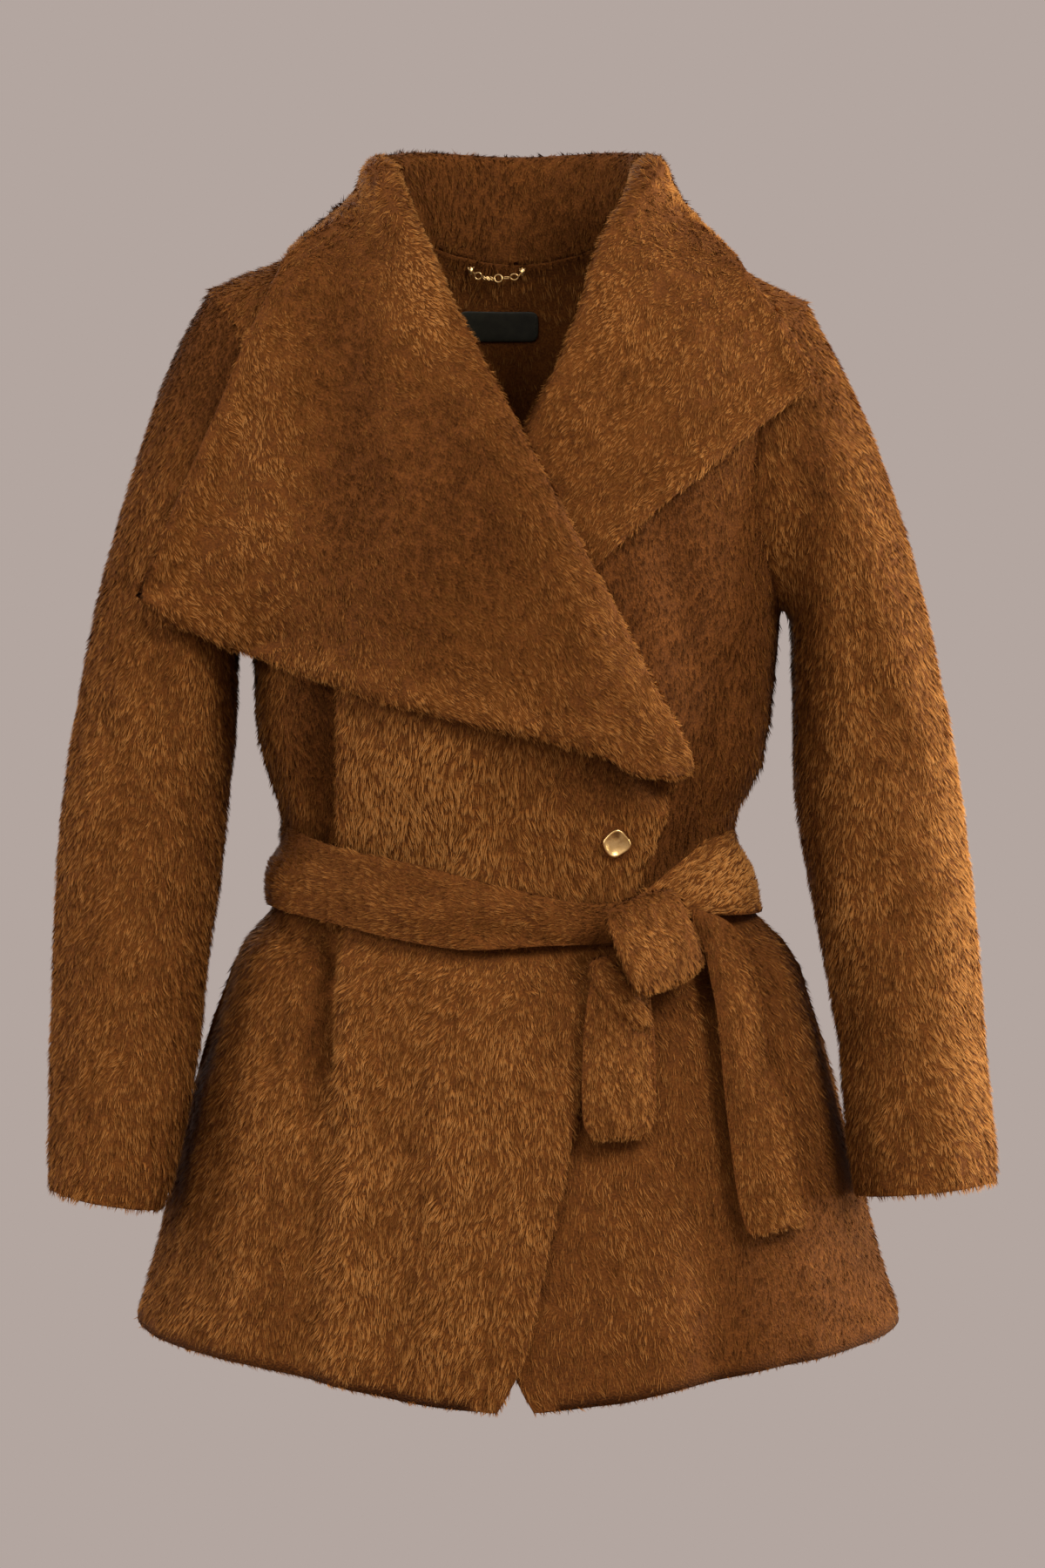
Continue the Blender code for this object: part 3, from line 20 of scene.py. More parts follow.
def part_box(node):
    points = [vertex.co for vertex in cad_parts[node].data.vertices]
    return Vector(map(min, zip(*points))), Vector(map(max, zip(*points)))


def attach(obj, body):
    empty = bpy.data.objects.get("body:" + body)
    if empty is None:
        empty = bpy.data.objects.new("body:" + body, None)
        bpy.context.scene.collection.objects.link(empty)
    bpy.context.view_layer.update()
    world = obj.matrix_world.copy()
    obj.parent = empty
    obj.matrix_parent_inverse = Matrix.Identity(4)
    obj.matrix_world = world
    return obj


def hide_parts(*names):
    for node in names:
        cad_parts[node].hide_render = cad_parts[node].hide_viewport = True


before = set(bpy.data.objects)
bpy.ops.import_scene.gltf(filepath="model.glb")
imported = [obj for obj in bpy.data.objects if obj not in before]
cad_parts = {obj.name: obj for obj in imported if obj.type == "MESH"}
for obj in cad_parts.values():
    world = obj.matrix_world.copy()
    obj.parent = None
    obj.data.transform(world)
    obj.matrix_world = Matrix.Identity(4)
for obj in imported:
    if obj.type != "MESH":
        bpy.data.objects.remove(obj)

scene = bpy.context.scene
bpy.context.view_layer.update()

# %% [markdown]
# ## The camera
# A coat is shown best from straight ahead and from far away, with a long lens, so that the
# shoulders and the hem are seen level and nothing bulges. The lens follows from the distance
# and from the height of what it has to take in: focal length / sensor = distance / height.

# %% Camera
FRAME_HEIGHT = 1.053         # metres of the coat's own plane, from top to bottom of the frame
CAMERA_AWAY = 3.6
CAMERA_SIDE = 0.00468        # the frame's middle, as the coat isn't quite even
CAMERA_LEVEL = -0.37908
SENSOR = 36.0

camera_data = bpy.data.cameras.new("studio_camera")
camera_data.sensor_fit = "VERTICAL"
camera_data.sensor_height = SENSOR
camera_data.lens = SENSOR * CAMERA_AWAY / FRAME_HEIGHT
camera = bpy.data.objects.new("studio_camera", camera_data)
camera.location = (CAMERA_SIDE, -CAMERA_AWAY, CAMERA_LEVEL)
camera.rotation_euler = (math.radians(90), 0, 0)
scene.collection.objects.link(camera)
scene.camera = camera
print("lens", round(camera_data.lens, 1), "mm")

# %% [markdown]
# ## Light and floor
# Pile shows its direction only when light comes from one side. A large soft key light stands
# at the front right and above, with a weaker fill at the front left. One at the right rims
# the sleeve, and two more at the left and behind keep the other sides readable. A taupe world
# gives the even background.

# %% Light
WORLD_COLOUR = (0.451, 0.381, 0.352, 1.0)
LIGHTS = (   # name, place, what it looks at, size, power in watts, colour
    ("key_softbox", (1.9, -2.7, 1.7), (0, 0, -0.35), 1.3, 112, (1.0, 0.96, 0.90)),
    ("front_softbox", (-1.2, -3.2, 0.9), (0, 0, -0.40), 1.2, 34, (1.0, 0.97, 0.93)),
    ("rim_softbox", (2.9, 0.5, -0.2), (0, 0, -0.40), 1.0, 140, (1.0, 0.93, 0.74)),
    ("side_softbox", (-2.9, -0.9, 0.3), (0, 0, -0.45), 1.4, 42, (1.0, 0.97, 0.93)),
    ("back_softbox", (-0.8, 2.9, 0.9), (0, 0, -0.40), 1.5, 48, (1.0, 0.97, 0.92)),
)


def add_softbox(name, place, target, size, power, colour):
    """A square area light at `place` that faces `target`."""
    data = bpy.data.lights.new(name, "AREA")
    data.size = size
    data.energy = power
    data.color = colour
    light = bpy.data.objects.new(name, data)
    light.location = place
    light.rotation_euler = (Vector(target) - Vector(place)).to_track_quat("-Z", "Y").to_euler()
    scene.collection.objects.link(light)


for row in LIGHTS:
    add_softbox(*row)
world = bpy.data.worlds.new("taupe_studio")
world.use_nodes = True
world.node_tree.nodes["Background"].inputs["Color"].default_value = WORLD_COLOUR
world.node_tree.nodes["Background"].inputs["Strength"].default_value = 1.0
scene.world = world
scene.view_settings.view_transform = "Standard"
print(len(LIGHTS), "softboxes")

# %% [markdown]
# ## Shader arithmetic
# Most of a procedural finish is arithmetic on patterns. Wrapping a socket in a small class
# lets an expression such as `noise * 0.2 + 0.3` add the Math nodes by itself, and one method
# makes every other kind of node.

# %% Shader helpers


class Wire:
    """One output socket of a shader, with arithmetic."""

    def __init__(self, finish, socket):
        self.finish = finish
        self.socket = socket

    def math(self, operation, first, second):
        return self.finish.node("ShaderNodeMath", {"operation": operation},
                                {0: first, 1: second})

    def __add__(self, other):
        return self.math("ADD", self, other)

    def __mul__(self, other):
        return self.math("MULTIPLY", self, other)


class Finish:
    """A material and the one method that adds nodes to it."""

    def __init__(self, name):
        self.material = bpy.data.materials.new(name)
        self.material.use_nodes = True
        self.tree = self.material.node_tree
        self.tree.nodes.clear()

    def node(self, kind, settings=None, values=None, output=0):
        """A new node's output. `settings` are its own properties, `values` its sockets."""
        made = self.tree.nodes.new(kind)
        for key, value in (settings or {}).items():
            if key == "stops":
                ramp = made.color_ramp
                while len(ramp.elements) < len(value):
                    ramp.elements.new(0.5)
                for element, (place, colour) in zip(ramp.elements, value):
                    element.position = place
                    element.color = (*colour, 1.0)
            else:
                setattr(made, key, value)
        for key, value in (values or {}).items():
            if isinstance(value, Wire):
                self.tree.links.new(value.socket, made.inputs[key])
            else:
                made.inputs[key].default_value = value
        return Wire(self, made.outputs[output])

    def surface(self, **values):
        """The Principled shader, with `Base_Color` and so on as socket names."""
        named = {key.replace("_", " "): value for key, value in values.items()}
        shader = self.node("ShaderNodeBsdfPrincipled", None, named)
        end = self.tree.nodes.new("ShaderNodeOutputMaterial")
        self.tree.links.new(shader.socket, end.inputs["Surface"])
        return self.material

    def place(self):
        return self.node("ShaderNodeTexCoord", output="Object")

    def noise(self, vector, scale, detail=2.0):
        return self.node("ShaderNodeTexNoise", None,
                         {"Vector": vector, "Scale": scale, "Detail": detail})

    def ramp(self, factor, stops):
        return self.node("ShaderNodeValToRGB", {"stops": stops}, {"Fac": factor})

    def bump(self, height, distance, strength=1.0):
        return self.node("ShaderNodeBump", None,
                         {"Height": height, "Distance": distance, "Strength": strength})


print("shader helpers ready")

# %% [markdown]
# ## The wool's colours
# A fibre is nearly black brown where it is rooted and golden at its tip; the dark of the roots
# is painted shade deep in the pile, which is what gives the pile its depth. Each fibre's own UV
# map carries two numbers: v runs from root to tip, and u says how light this fibre is, its own
# tone among its neighbours with the light and shade painted on it. The colour reads only those
# two, so it stays with the fibre. Darker fibres are redder and lighter ones more golden. The
# backing under the pile is a felted dark brown.

# %% Wool finishes
FIBRE_STOPS = (
    (0.00, (0.045, 0.0120, 0.0018)),
    (0.25, (0.094, 0.0275, 0.0046)),
    (0.50, (0.198, 0.0680, 0.0130)),
    (0.75, (0.310, 0.1310, 0.0325)),
    (1.00, (0.440, 0.2260, 0.0760)),
)
FIBRE_ALONG = 0.62           # how much the colour follows the way from root to tip
FIBRE_SHADE = 0.38           # how much it follows the fibre's shade: its tone and the light and shade painted on it
FIBRE_DARK = 0.52            # share of the colour that the darkest fibres keep
FIBRE_SPAN = 0.82            # added to it for the lightest


def pile_finish():
    finish = Finish("wool_pile")
    where = finish.node("ShaderNodeUVMap", {"uv_map": "OFBake"})
    split = finish.node("ShaderNodeSeparateXYZ", None, {"Vector": where})
    along = Wire(finish, split.socket.node.outputs["Y"])
    shade = Wire(finish, split.socket.node.outputs["X"])
    colour = finish.ramp(along * FIBRE_ALONG + shade * FIBRE_SHADE, FIBRE_STOPS)
    light = shade * FIBRE_SPAN + FIBRE_DARK
    tinted = finish.node("ShaderNodeVectorMath", {"operation": "SCALE"},
                         {"Vector": colour, "Scale": light})
    return finish.surface(Base_Color=tinted, Roughness=0.75, Specular_IOR_Level=0.05)


def backing_finish():
    finish = Finish("wool_backing")
    where = finish.place()
    felt = finish.noise(where, 700.0, 3.0)
    patches = finish.noise(where, 60.0, 2.0)
    colour = finish.ramp(felt * 0.7 + patches * 0.3, (
        (0.30, (0.060, 0.0170, 0.0022)),
        (0.52, (0.115, 0.0350, 0.0048)),
        (0.75, (0.190, 0.0620, 0.0100)),
    ))
    return finish.surface(Base_Color=colour, Roughness=0.9, Specular_IOR_Level=0.15,
                          Normal=finish.bump(felt, 0.0012))


PILE = pile_finish()
BACKING = backing_finish()
print("wool finishes ready")

# %% [markdown]
# ## Smooth shells
# A solid made for checks is coarse. Its loose triangles are merged, joined back to quads and
# rounded by two levels of Subdivision Surface, which keeps the piece where it is and turns
# its cut edges into soft folds of cloth. The rounded faces are then moved in by the depth of
# the pile, and edges that meet another piece are drawn back onto it, so no seam gapes.

# %% Shells from the solids
WOOL_NODES = ("back", "front_left", "front_right", "sleeve_left", "sleeve_right", "collar",
              "lapel_left", "lapel_right", "belt", "belt_end_short", "belt_end_long",
              "belt_knot")
BODY_PANELS = ("back", "front_left", "front_right")
SUBDIVISIONS = 2
PILE_DEPTH = 0.0017          # from the tips of the lying pile down to the backing
SEAM_CLOSED = 0.0010         # nearer than this to another piece, nothing is thinned
SEAM_REACH = 0.0070          # from here on, all of it is
SEAM_SHUT = 0.0030           # rounded edges nearer than this are drawn right onto that piece
SEAM_SOFT = 0.0008           # the range of distance over which that fades in
CONTACT_SHADE_REACH = 0.0140        # cloth this near, lying over another piece, casts painted shade on its pile
MERGE = 1e-5
QUAD_BEND = math.radians(50)     # two triangles that bend or skew more stay apart
QUAD_SKEW = math.radians(60)
CORNER_SOFT = 0.0012         # a corner that rounding pulls in by less than this stays round
CORNER_HARD = 0.0040         # and one pulled in by this much more keeps the most
CORNER_KEPT = 0.85           # which is this share of its reach


def merged_copy(node):
    """A bmesh of a solid with its loose triangles merged and joined to quads."""
    shell = bmesh.new()
    shell.from_mesh(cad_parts[node].data)
    bmesh.ops.remove_doubles(shell, verts=shell.verts, dist=MERGE)
    bmesh.ops.join_triangles(shell, faces=shell.faces, angle_face_threshold=QUAD_BEND,
                             angle_shape_threshold=QUAD_SKEW)
    return shell


def add_piece(name, mesh, material):
    """An object with smooth shading and one material."""
    for polygon in mesh.polygons:
        polygon.use_smooth = True
    mesh.materials.clear()
    mesh.materials.append(material)
    piece = bpy.data.objects.new(name, mesh)
    scene.collection.objects.link(piece)
    return piece


def subdivided(rough, kind, levels=SUBDIVISIONS):
    """A copy of a mesh after Subdivision Surface, rounded or with its corners kept."""
    holder = bpy.data.objects.new("rough", rough)
    scene.collection.objects.link(holder)
    rounding = holder.modifiers.new("rounding", "SUBSURF")
    rounding.subdivision_type = kind
    rounding.levels = levels
    rounding.render_levels = levels
    ready = holder.evaluated_get(bpy.context.evaluated_depsgraph_get())
    mesh = bpy.data.meshes.new_from_object(ready)
    bpy.data.objects.remove(holder)
    return mesh


def rounded_shell(node):
    """The solid as a smooth mesh of its own. Its far corners, such as a lapel's tip, keep
    most of their reach, which rounding alone would pull in."""
    shell = merged_copy(node)
    rough = bpy.data.meshes.new(node + "_rough")
    shell.to_mesh(rough)
    shell.free()
    mesh = subdivided(rough, "CATMULL_CLARK")
    plain = points_of(subdivided(rough, "SIMPLE"))
    soft = points_of(mesh)
    pulled = np.linalg.norm(plain - soft, axis=1)
    share = np.clip((pulled - CORNER_SOFT) / CORNER_HARD, 0, 1)[:, None]
    share *= CORNER_KEPT * (node.startswith("lapel") or node in BODY_PANELS)
    set_points(mesh, soft + (plain - soft) * share)
    mesh.name = node + "_cloth"
    return mesh


def points_of(mesh):
    flat = np.zeros(len(mesh.vertices) * 3, np.float32)
    mesh.vertices.foreach_get("co", flat)
    return flat.reshape(-1, 3).astype(float)


def set_points(mesh, points):
    mesh.vertices.foreach_set("co", np.ascontiguousarray(points, np.float32).ravel())
    mesh.update()


def search_tree(meshes):
    """One tree of several meshes, for rays and for nearest points."""
    verts, faces = [], []
    for mesh in meshes:
        first = len(verts)
        verts.extend(vertex.co.copy() for vertex in mesh.vertices)
        faces.extend([first + i for i in polygon.vertices] for polygon in mesh.polygons)
    return BVHTree.FromPolygons(verts, faces)


def normals_of(mesh):
    flat = np.zeros(len(mesh.vertices) * 3, np.float32)
    mesh.vertices.foreach_get("normal", flat)
    return flat.reshape(-1, 3).astype(float)


def away_from(points, middle):
    """Level directions from a line of points out to the cloth."""
    out = points - middle
    out[:, 2] = 0
    return out / np.maximum(np.linalg.norm(out, axis=1), 1e-6)[:, None]


def sleeve_middle(points):
    """The middle of a sleeve at the level of each point, from shoulder to cuff."""
    levels = (-0.70, -0.60, -0.48, -0.35, -0.20, -0.05)
    out = np.interp(points[:, 2], levels, (0.271, 0.269, 0.258, 0.242, 0.212, 0.185))
    deep = np.interp(points[:, 2], levels, (-0.066, -0.055, -0.028, -0.012, 0.0, 0.0))
    return np.stack((np.sign(points[:, 0]) * out, deep, points[:, 2]), axis=1)


def outward(node, points):
    """The direction straight out of the cloth's face, whatever its cut edge does."""
    if node.startswith("lapel"):
        return np.tile((0.0, -1.0, 0.0), (len(points), 1))
    if node.startswith("sleeve"):
        return away_from(points, sleeve_middle(points))
    return away_from(points, points * 0)


def thin_down(node, mesh):
    """Moves the faces inward, so that the pile on them ends where the solid does.

    Seams stay closed: near another piece the surface stays where it is, and right at it, it is
    drawn onto it. Returns how much of each point is under another piece, from 0 to 1, which is
    later painted on its pile as shade."""
    normals = normals_of(mesh)
    points = points_of(mesh)
    others = search_tree(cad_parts[other].data for other in WOOL_NODES if other != node)
    found = [others.find_nearest(Vector(point), CONTACT_SHADE_REACH) for point in points]
    gaps = np.array([CONTACT_SHADE_REACH if gap is None else gap for _, _, _, gap in found])
    over = np.array([point if at is None else at
                     for (at, _, _, _), point in zip(found, points)])
    share = np.clip((gaps - SEAM_CLOSED) / (SEAM_REACH - SEAM_CLOSED), 0, 1)
    out = outward(node, points)
    through = out * (normals * out).sum(axis=1)[:, None]
    if node == "collar":
        through = normals
    shut = np.clip((SEAM_SHUT - gaps) / SEAM_SOFT, 0, 1)[:, None]
    set_points(mesh, points - through * (PILE_DEPTH * share)[:, None] + (over - points) * shut)
    # painted shade: the nearer cloth lies over a point, the darker its pile is painted
    facing = ((over - points) * normals).sum(axis=1) / np.maximum(gaps, 1e-6)
    return np.clip(1 - gaps / CONTACT_SHADE_REACH, 0, 1) * np.clip(facing * 2 + 0.4, 0, 1)


shell_meshes = {node: rounded_shell(node) for node in WOOL_NODES}
# each shell's painted shade from the cloth that lies over it
contact_shade = {node: thin_down(node, mesh) for node, mesh in shell_meshes.items()}
label_mesh = rounded_shell("neck_label")
print("shell faces", sum(len(mesh.polygons) for mesh in shell_meshes.values()))

# %% [markdown]
# ## Creases
# Thick cloth falls in wide, shallow waves and never in sharp folds. Each crease is listed:
# where it starts and ends, how wide it is and how far it stands out or sinks in. The rows are
# uneven on purpose. All panels of the body move by one shared rule, so cloth that lies on cloth
# stays on it.

# %% Crease tables
# start x and level, end x and level, half width, height (in is negative), all in metres
FRONT_CREASES = (
    (-0.117, -0.070, -0.119, -0.190, 0.0170, -0.0060),
    (-0.082, -0.090, -0.072, -0.250, 0.0170, 0.0030),
    (-0.150, -0.110, -0.172, -0.220, 0.0150, 0.0036),
    (-0.136, -0.660, -0.142, -0.760, 0.0140, -0.0044),
    (-0.168, -0.580, -0.186, -0.810, 0.0140, 0.0030),
    (-0.108, -0.640, -0.116, -0.820, 0.0140, 0.0030),
    (-0.070, -0.560, -0.078, -0.800, 0.0160, -0.0034),
    (-0.040, -0.580, -0.044, -0.800, 0.0160, 0.0022),
    (0.010, -0.640, -0.004, -0.820, 0.0160, 0.0022),
    (0.118, -0.640, 0.142, -0.830, 0.0160, -0.0034),
    (0.176, -0.590, 0.200, -0.810, 0.0140, 0.0028),
    (-0.166, -0.370, -0.148, -0.428, 0.0120, -0.0034),
    (-0.020, -0.380, 0.018, -0.440, 0.0100, -0.0024),
    (0.140, -0.300, 0.128, -0.420, 0.0120, -0.0034),
    (-0.150, -0.478, -0.158, -0.560, 0.0090, -0.0034),
    (-0.060, -0.495, -0.066, -0.580, 0.0100, -0.0028),
    (0.024, -0.500, 0.020, -0.580, 0.0090, -0.0024),
    (0.160, -0.480, 0.172, -0.560, 0.0090, -0.0030),
    (0.090, -0.190, 0.120, -0.300, 0.0140, -0.0030),
)
BACK_CREASES = (
    (-0.120, -0.140, -0.060, -0.300, 0.0180, -0.0032),
    (0.126, -0.150, 0.070, -0.320, 0.0160, -0.0028),
    (-0.010, -0.180, 0.006, -0.400, 0.0200, 0.0024),
    (-0.140, -0.340, -0.128, -0.418, 0.0120, -0.0040),
    (-0.070, -0.352, -0.074, -0.416, 0.0110, -0.0030),
    (0.050, -0.346, 0.046, -0.416, 0.0120, -0.0036),
    (0.132, -0.330, 0.120, -0.416, 0.0110, -0.0034),
    (-0.132, -0.470, -0.150, -0.640, 0.0120, -0.0038),
    (-0.064, -0.466, -0.080, -0.800, 0.0150, -0.0034),
    (0.004, -0.470, -0.002, -0.700, 0.0120, 0.0026),
    (0.058, -0.466, 0.074, -0.810, 0.0150, -0.0036),
    (0.138, -0.470, 0.160, -0.700, 0.0120, -0.0034),
)
SLEEVE_FRONT_CREASES = (
    (-0.252, -0.250, -0.226, -0.330, 0.0130, -0.0034),
    (-0.276, -0.330, -0.246, -0.392, 0.0120, -0.0036),
    (-0.262, -0.410, -0.290, -0.470, 0.0130, -0.0030),
    (-0.244, -0.520, -0.268, -0.640, 0.0160, 0.0024),
    (0.214, -0.240, 0.238, -0.330, 0.0140, -0.0030),
    (0.238, -0.320, 0.270, -0.390, 0.0120, -0.0034),
    (0.290, -0.420, 0.256, -0.470, 0.0130, -0.0028),
    (0.262, -0.540, 0.290, -0.640, 0.0160, 0.0022),
)
SLEEVE_BACK_CREASES = (
    (-0.236, -0.250, -0.266, -0.330, 0.0140, -0.0030),
    (-0.250, -0.350, -0.284, -0.380, 0.0110, -0.0038),
    (-0.280, -0.400, -0.246, -0.440, 0.0110, -0.0034),
    (-0.290, -0.520, -0.270, -0.640, 0.0150, 0.0024),
    (0.230, -0.250, 0.262, -0.330, 0.0140, -0.0030),
    (0.246, -0.346, 0.280, -0.382, 0.0110, -0.0038),
    (0.276, -0.404, 0.244, -0.446, 0.0110, -0.0034),
    (0.288, -0.520, 0.268, -0.640, 0.0150, 0.0024),
)
# deep folds of the fronts alone, which the belt and the lapel only bridge
FOLD_CREASES = (
    (-0.127, -0.285, -0.128, -0.432, 0.0090, -0.0170),
    (-0.110, -0.290, -0.112, -0.432, 0.0070, 0.0060),
    (-0.127, -0.480, -0.128, -0.560, 0.0085, -0.0120),
    (-0.126, -0.560, -0.124, -0.640, 0.0100, -0.0040),
    (-0.110, -0.484, -0.110, -0.590, 0.0080, 0.0046),
    (-0.196, -0.470, -0.206, -0.560, 0.0080, -0.0030),
    (0.070, -0.350, 0.098, -0.385, 0.0090, -0.0060),
)


def ridge(points, halves, heights):
    """Rows of one crease that runs on from point to point."""
    return [(*start, *end, half, height)
            for start, end, half, height in zip(points, points[1:], halves, heights)]


# the lapels' puffed edges and rolls, on their upper side
LAPEL_RIGHT_RIDGES = (
    ridge(((-0.1350, -0.0350), (-0.1650, -0.0850), (-0.1870, -0.1370), (-0.2100, -0.1880),
           (-0.2360, -0.2440)), [0.0080] * 4, (0.0024, 0.0026, 0.0028, 0.0030))
    + ridge(((-0.2280, -0.2620), (-0.1925, -0.2790), (-0.1220, -0.3060), (-0.0630, -0.3240),
             (0.0045, -0.3410), (0.0600, -0.3510)),
            [0.0080] * 5, (0.0028, 0.0030, 0.0030, 0.0028, 0.0026))
    + ridge(((-0.0780, -0.0140), (-0.0570, -0.0810), (-0.0210, -0.1480), (0.0090, -0.2100),
             (0.0430, -0.2720)),
            (0.0160, 0.0160, 0.0150, 0.0130), (0.0030, 0.0036, 0.0034, 0.0030))
    + [(-0.2363, -0.2492, -0.2363, -0.2480, 0.0055, -0.0034)]
)
LAPEL_LEFT_RIDGES = (
    ridge(((0.1900, -0.1190), (0.1230, -0.1700), (0.0560, -0.2250)),
          [0.0080] * 2, (0.0032, 0.0030))
    + [(0.1520, -0.0460, 0.1900, -0.1100, 0.0080, 0.0030)]
    + ridge(((0.0860, -0.0300), (0.0660, -0.0830), (0.0380, -0.1400)),
            (0.0150, 0.0140), (0.0030, 0.0032))
)
# the belt's twists, on its outer side
BELT_CREASES = (
    (-0.160, -0.420, -0.050, -0.452, 0.0060, -0.0022),
    (-0.090, -0.462, 0.020, -0.462, 0.0070, 0.0024),
    (-0.020, -0.474, 0.055, -0.486, 0.0050, -0.0022),
    (0.110, -0.452, 0.140, -0.425, 0.0050, -0.0026),
    (0.125, -0.466, 0.148, -0.452, 0.0060, 0.0020),
)
CREASE_TABLES = (FRONT_CREASES, BACK_CREASES, SLEEVE_FRONT_CREASES, SLEEVE_BACK_CREASES,
                 FOLD_CREASES, LAPEL_RIGHT_RIDGES, LAPEL_LEFT_RIDGES, BELT_CREASES)
print(sum(len(table) for table in CREASE_TABLES), "creases")

# %% [markdown]
# ## Edges and fullness
# The belt and its ends are fuller along their middle than at their edges, the hem rises
# towards the sides, and the front edges and the lapels' inner edges run a little differently
# from those of the plain solids.

# %% Edges and fullness
BELT_BULGE = 0.0022          # how much fuller the belt's middle is
BELT_HALF = 0.026            # half the belt's height
BELT_TOP_IN = 0.0060         # how far its upper edge leans in at the wearer's sides
BELT_MIDDLE = ((-0.14, -0.432), (-0.02, -0.465), (0.05, -0.468), (0.10, -0.450),
               (0.14, -0.438))       # in front: x, level
BELT_MIDDLE_BEHIND = -0.432
# belt ends: level, left edge, right edge
LONG_EDGES = ((-0.672, 0.1500, 0.1945), (-0.618, 0.1380, 0.1840), (-0.554, 0.1315, 0.1725),
              (-0.502, 0.1240, 0.1600), (-0.474, 0.1170, 0.1480), (-0.458, 0.1150, 0.1300))
SHORT_EDGES = ((-0.606, 0.0450, 0.0890), (-0.590, 0.0410, 0.0930), (-0.500, 0.0420, 0.0900))
END_BULGE = 0.0046           # how much fuller their middle is
# distance from the middle in x, and how far the hem is raised there
HEM_RISE = ((0.000, 0.0010), (0.070, 0.0010), (0.120, 0.0065), (0.175, 0.0100), (0.260, 0.0100))
HEM_FROM = -0.690            # the level below which it starts to rise
# the front edges meet a little lower than the solids' do: level and shift towards each
# other; and level and x of the over front's edge
EDGE_MEET = ((-0.790, 0.0005), (-0.778, 0.0040), (-0.760, 0.0062), (-0.740, 0.0048),
             (-0.700, 0.0022), (-0.640, 0.0000))
EDGE_AT = ((-0.783, -0.0150), (-0.772, -0.0070), (-0.758, -0.0020), (-0.709, 0.0125),
           (-0.655, 0.0260), (-0.600, 0.0380))
# the lapels' inner edges: level and x; and level and how far the neck opening is eased
INNER_AT = {"right": ((-0.125, 0.0018), (-0.092, -0.0146), (-0.057, -0.0304), (-0.019, -0.0527),
                      (0.013, -0.0720)),
            "left": ((-0.125, 0.0018), (-0.087, 0.0164), (-0.060, 0.0310), (-0.034, 0.0456),
                     (0.013, 0.0690))}
INNER_EASE = {"right": ((-0.190, 0.0), (-0.145, -0.0030), (-0.101, -0.0060), (-0.060, -0.0080),
                        (-0.022, -0.0030), (0.005, 0.0)),
              "left": ((-0.200, 0.0), (-0.145, 0.0120), (-0.101, 0.0145), (-0.066, 0.0110),
                       (-0.040, 0.0040), (-0.020, 0.0))}
SEAM_OVER = 0.0080           # side and shoulder seams lie at y = 0; edges this near to it
SEAM_DRAW = 0.0014           # are drawn over it by this much
EDGE_HALF = 0.014            # how wide the shift at the front edges is
INNER_HALF = 0.030           # and the ease at the lapels' inner edges
CUFF_SLIM = 0.0040           # how far a sleeve's outer side comes in above the cuff
print("the hem rises by up to", 1000 * max(rise for _, rise in HEM_RISE), "mm")

# %% [markdown]
# ## Moving the cloth
# The creases give each point of a shell one height, along the direction straight out of the
# cloth, and two slow waves of noise keep the faces between them from being even. Hems, seams
# and front edges are shifted as well.

# %% Move the cloth


def crease_height(points, table):
    """How far the cloth stands out at each point, by the rows of a table."""
    total = np.zeros(len(points))
    for x0, z0, x1, z1, half, height in table:
        run = np.array((x1 - x0, z1 - z0))
        away = points[:, (0, 2)] - (x0, z0)
        share = np.clip(away @ run / (run @ run), 0, 1)
        beside = np.linalg.norm(away - share[:, None] * run, axis=1)
        total += height * np.exp(-(beside / half) ** 2)
    return total


def lattice_noise(points, cell, seed):
    """Smooth noise from -1 to 1 that changes over about `cell`, which may differ by axis."""
    table = np.random.default_rng(seed).uniform(-1, 1, 4096)
    scaled = points / np.array(cell) + 512.0
    base = np.floor(scaled).astype(np.int64)
    share = scaled - base
    share = share * share * (3 - 2 * share)
    total = np.zeros(len(points))
    for corner in range(8):
        step = np.array((corner & 1, corner >> 1 & 1, corner >> 2 & 1))
        key = (base + step) * np.array((73856093, 19349663, 83492791))
        index = (key[:, 0] ^ key[:, 1] ^ key[:, 2]) & 4095
        total += table[index] * np.prod(np.where(step, share, 1 - share), axis=1)
    return total


def smooth(share):
    share = np.clip(share, 0, 1)
    return share * share * (3 - 2 * share)


def along_table(levels, table):
    """Values read off a table of two columns."""
    return np.interp(levels, *zip(*table))


def blend_sides(points, middle_y, front, back):
    """Front rows where the cloth is before `middle_y`, back rows behind it."""
    ahead = np.clip((middle_y - points[:, 1]) / 0.03 + 0.5, 0, 1)
    return crease_height(points, front) * ahead + crease_height(points, back) * (1 - ahead)


def uneven(points):
    """Wide and narrow waves, in metres, that no crease makes."""
    return (0.0013 * lattice_noise(points, 0.055, 11)
            + 0.0006 * lattice_noise(points, 0.022, 12))


def belt_bulge(points):
    """A belt is fuller along its middle than at its edges."""
    front = along_table(points[:, 0], BELT_MIDDLE)
    middle = np.where(points[:, 1] < 0, front, BELT_MIDDLE_BEHIND)
    across = np.clip(np.abs(points[:, 2] - middle) / BELT_HALF, 0, 1)
    return BELT_BULGE * (1 - across ** 2) - 0.0006


def end_bulge(points, edges):
    """A belt end is fuller along its middle than at its edges."""
    levels, left, right = zip(*edges)
    left = np.interp(points[:, 2], levels, left)
    right = np.interp(points[:, 2], levels, right)
    across = np.clip(np.abs(2 * (points[:, 0] - left) / (right - left) - 1), 0, 1)
    return END_BULGE * (1 - across ** 2) - 0.0012


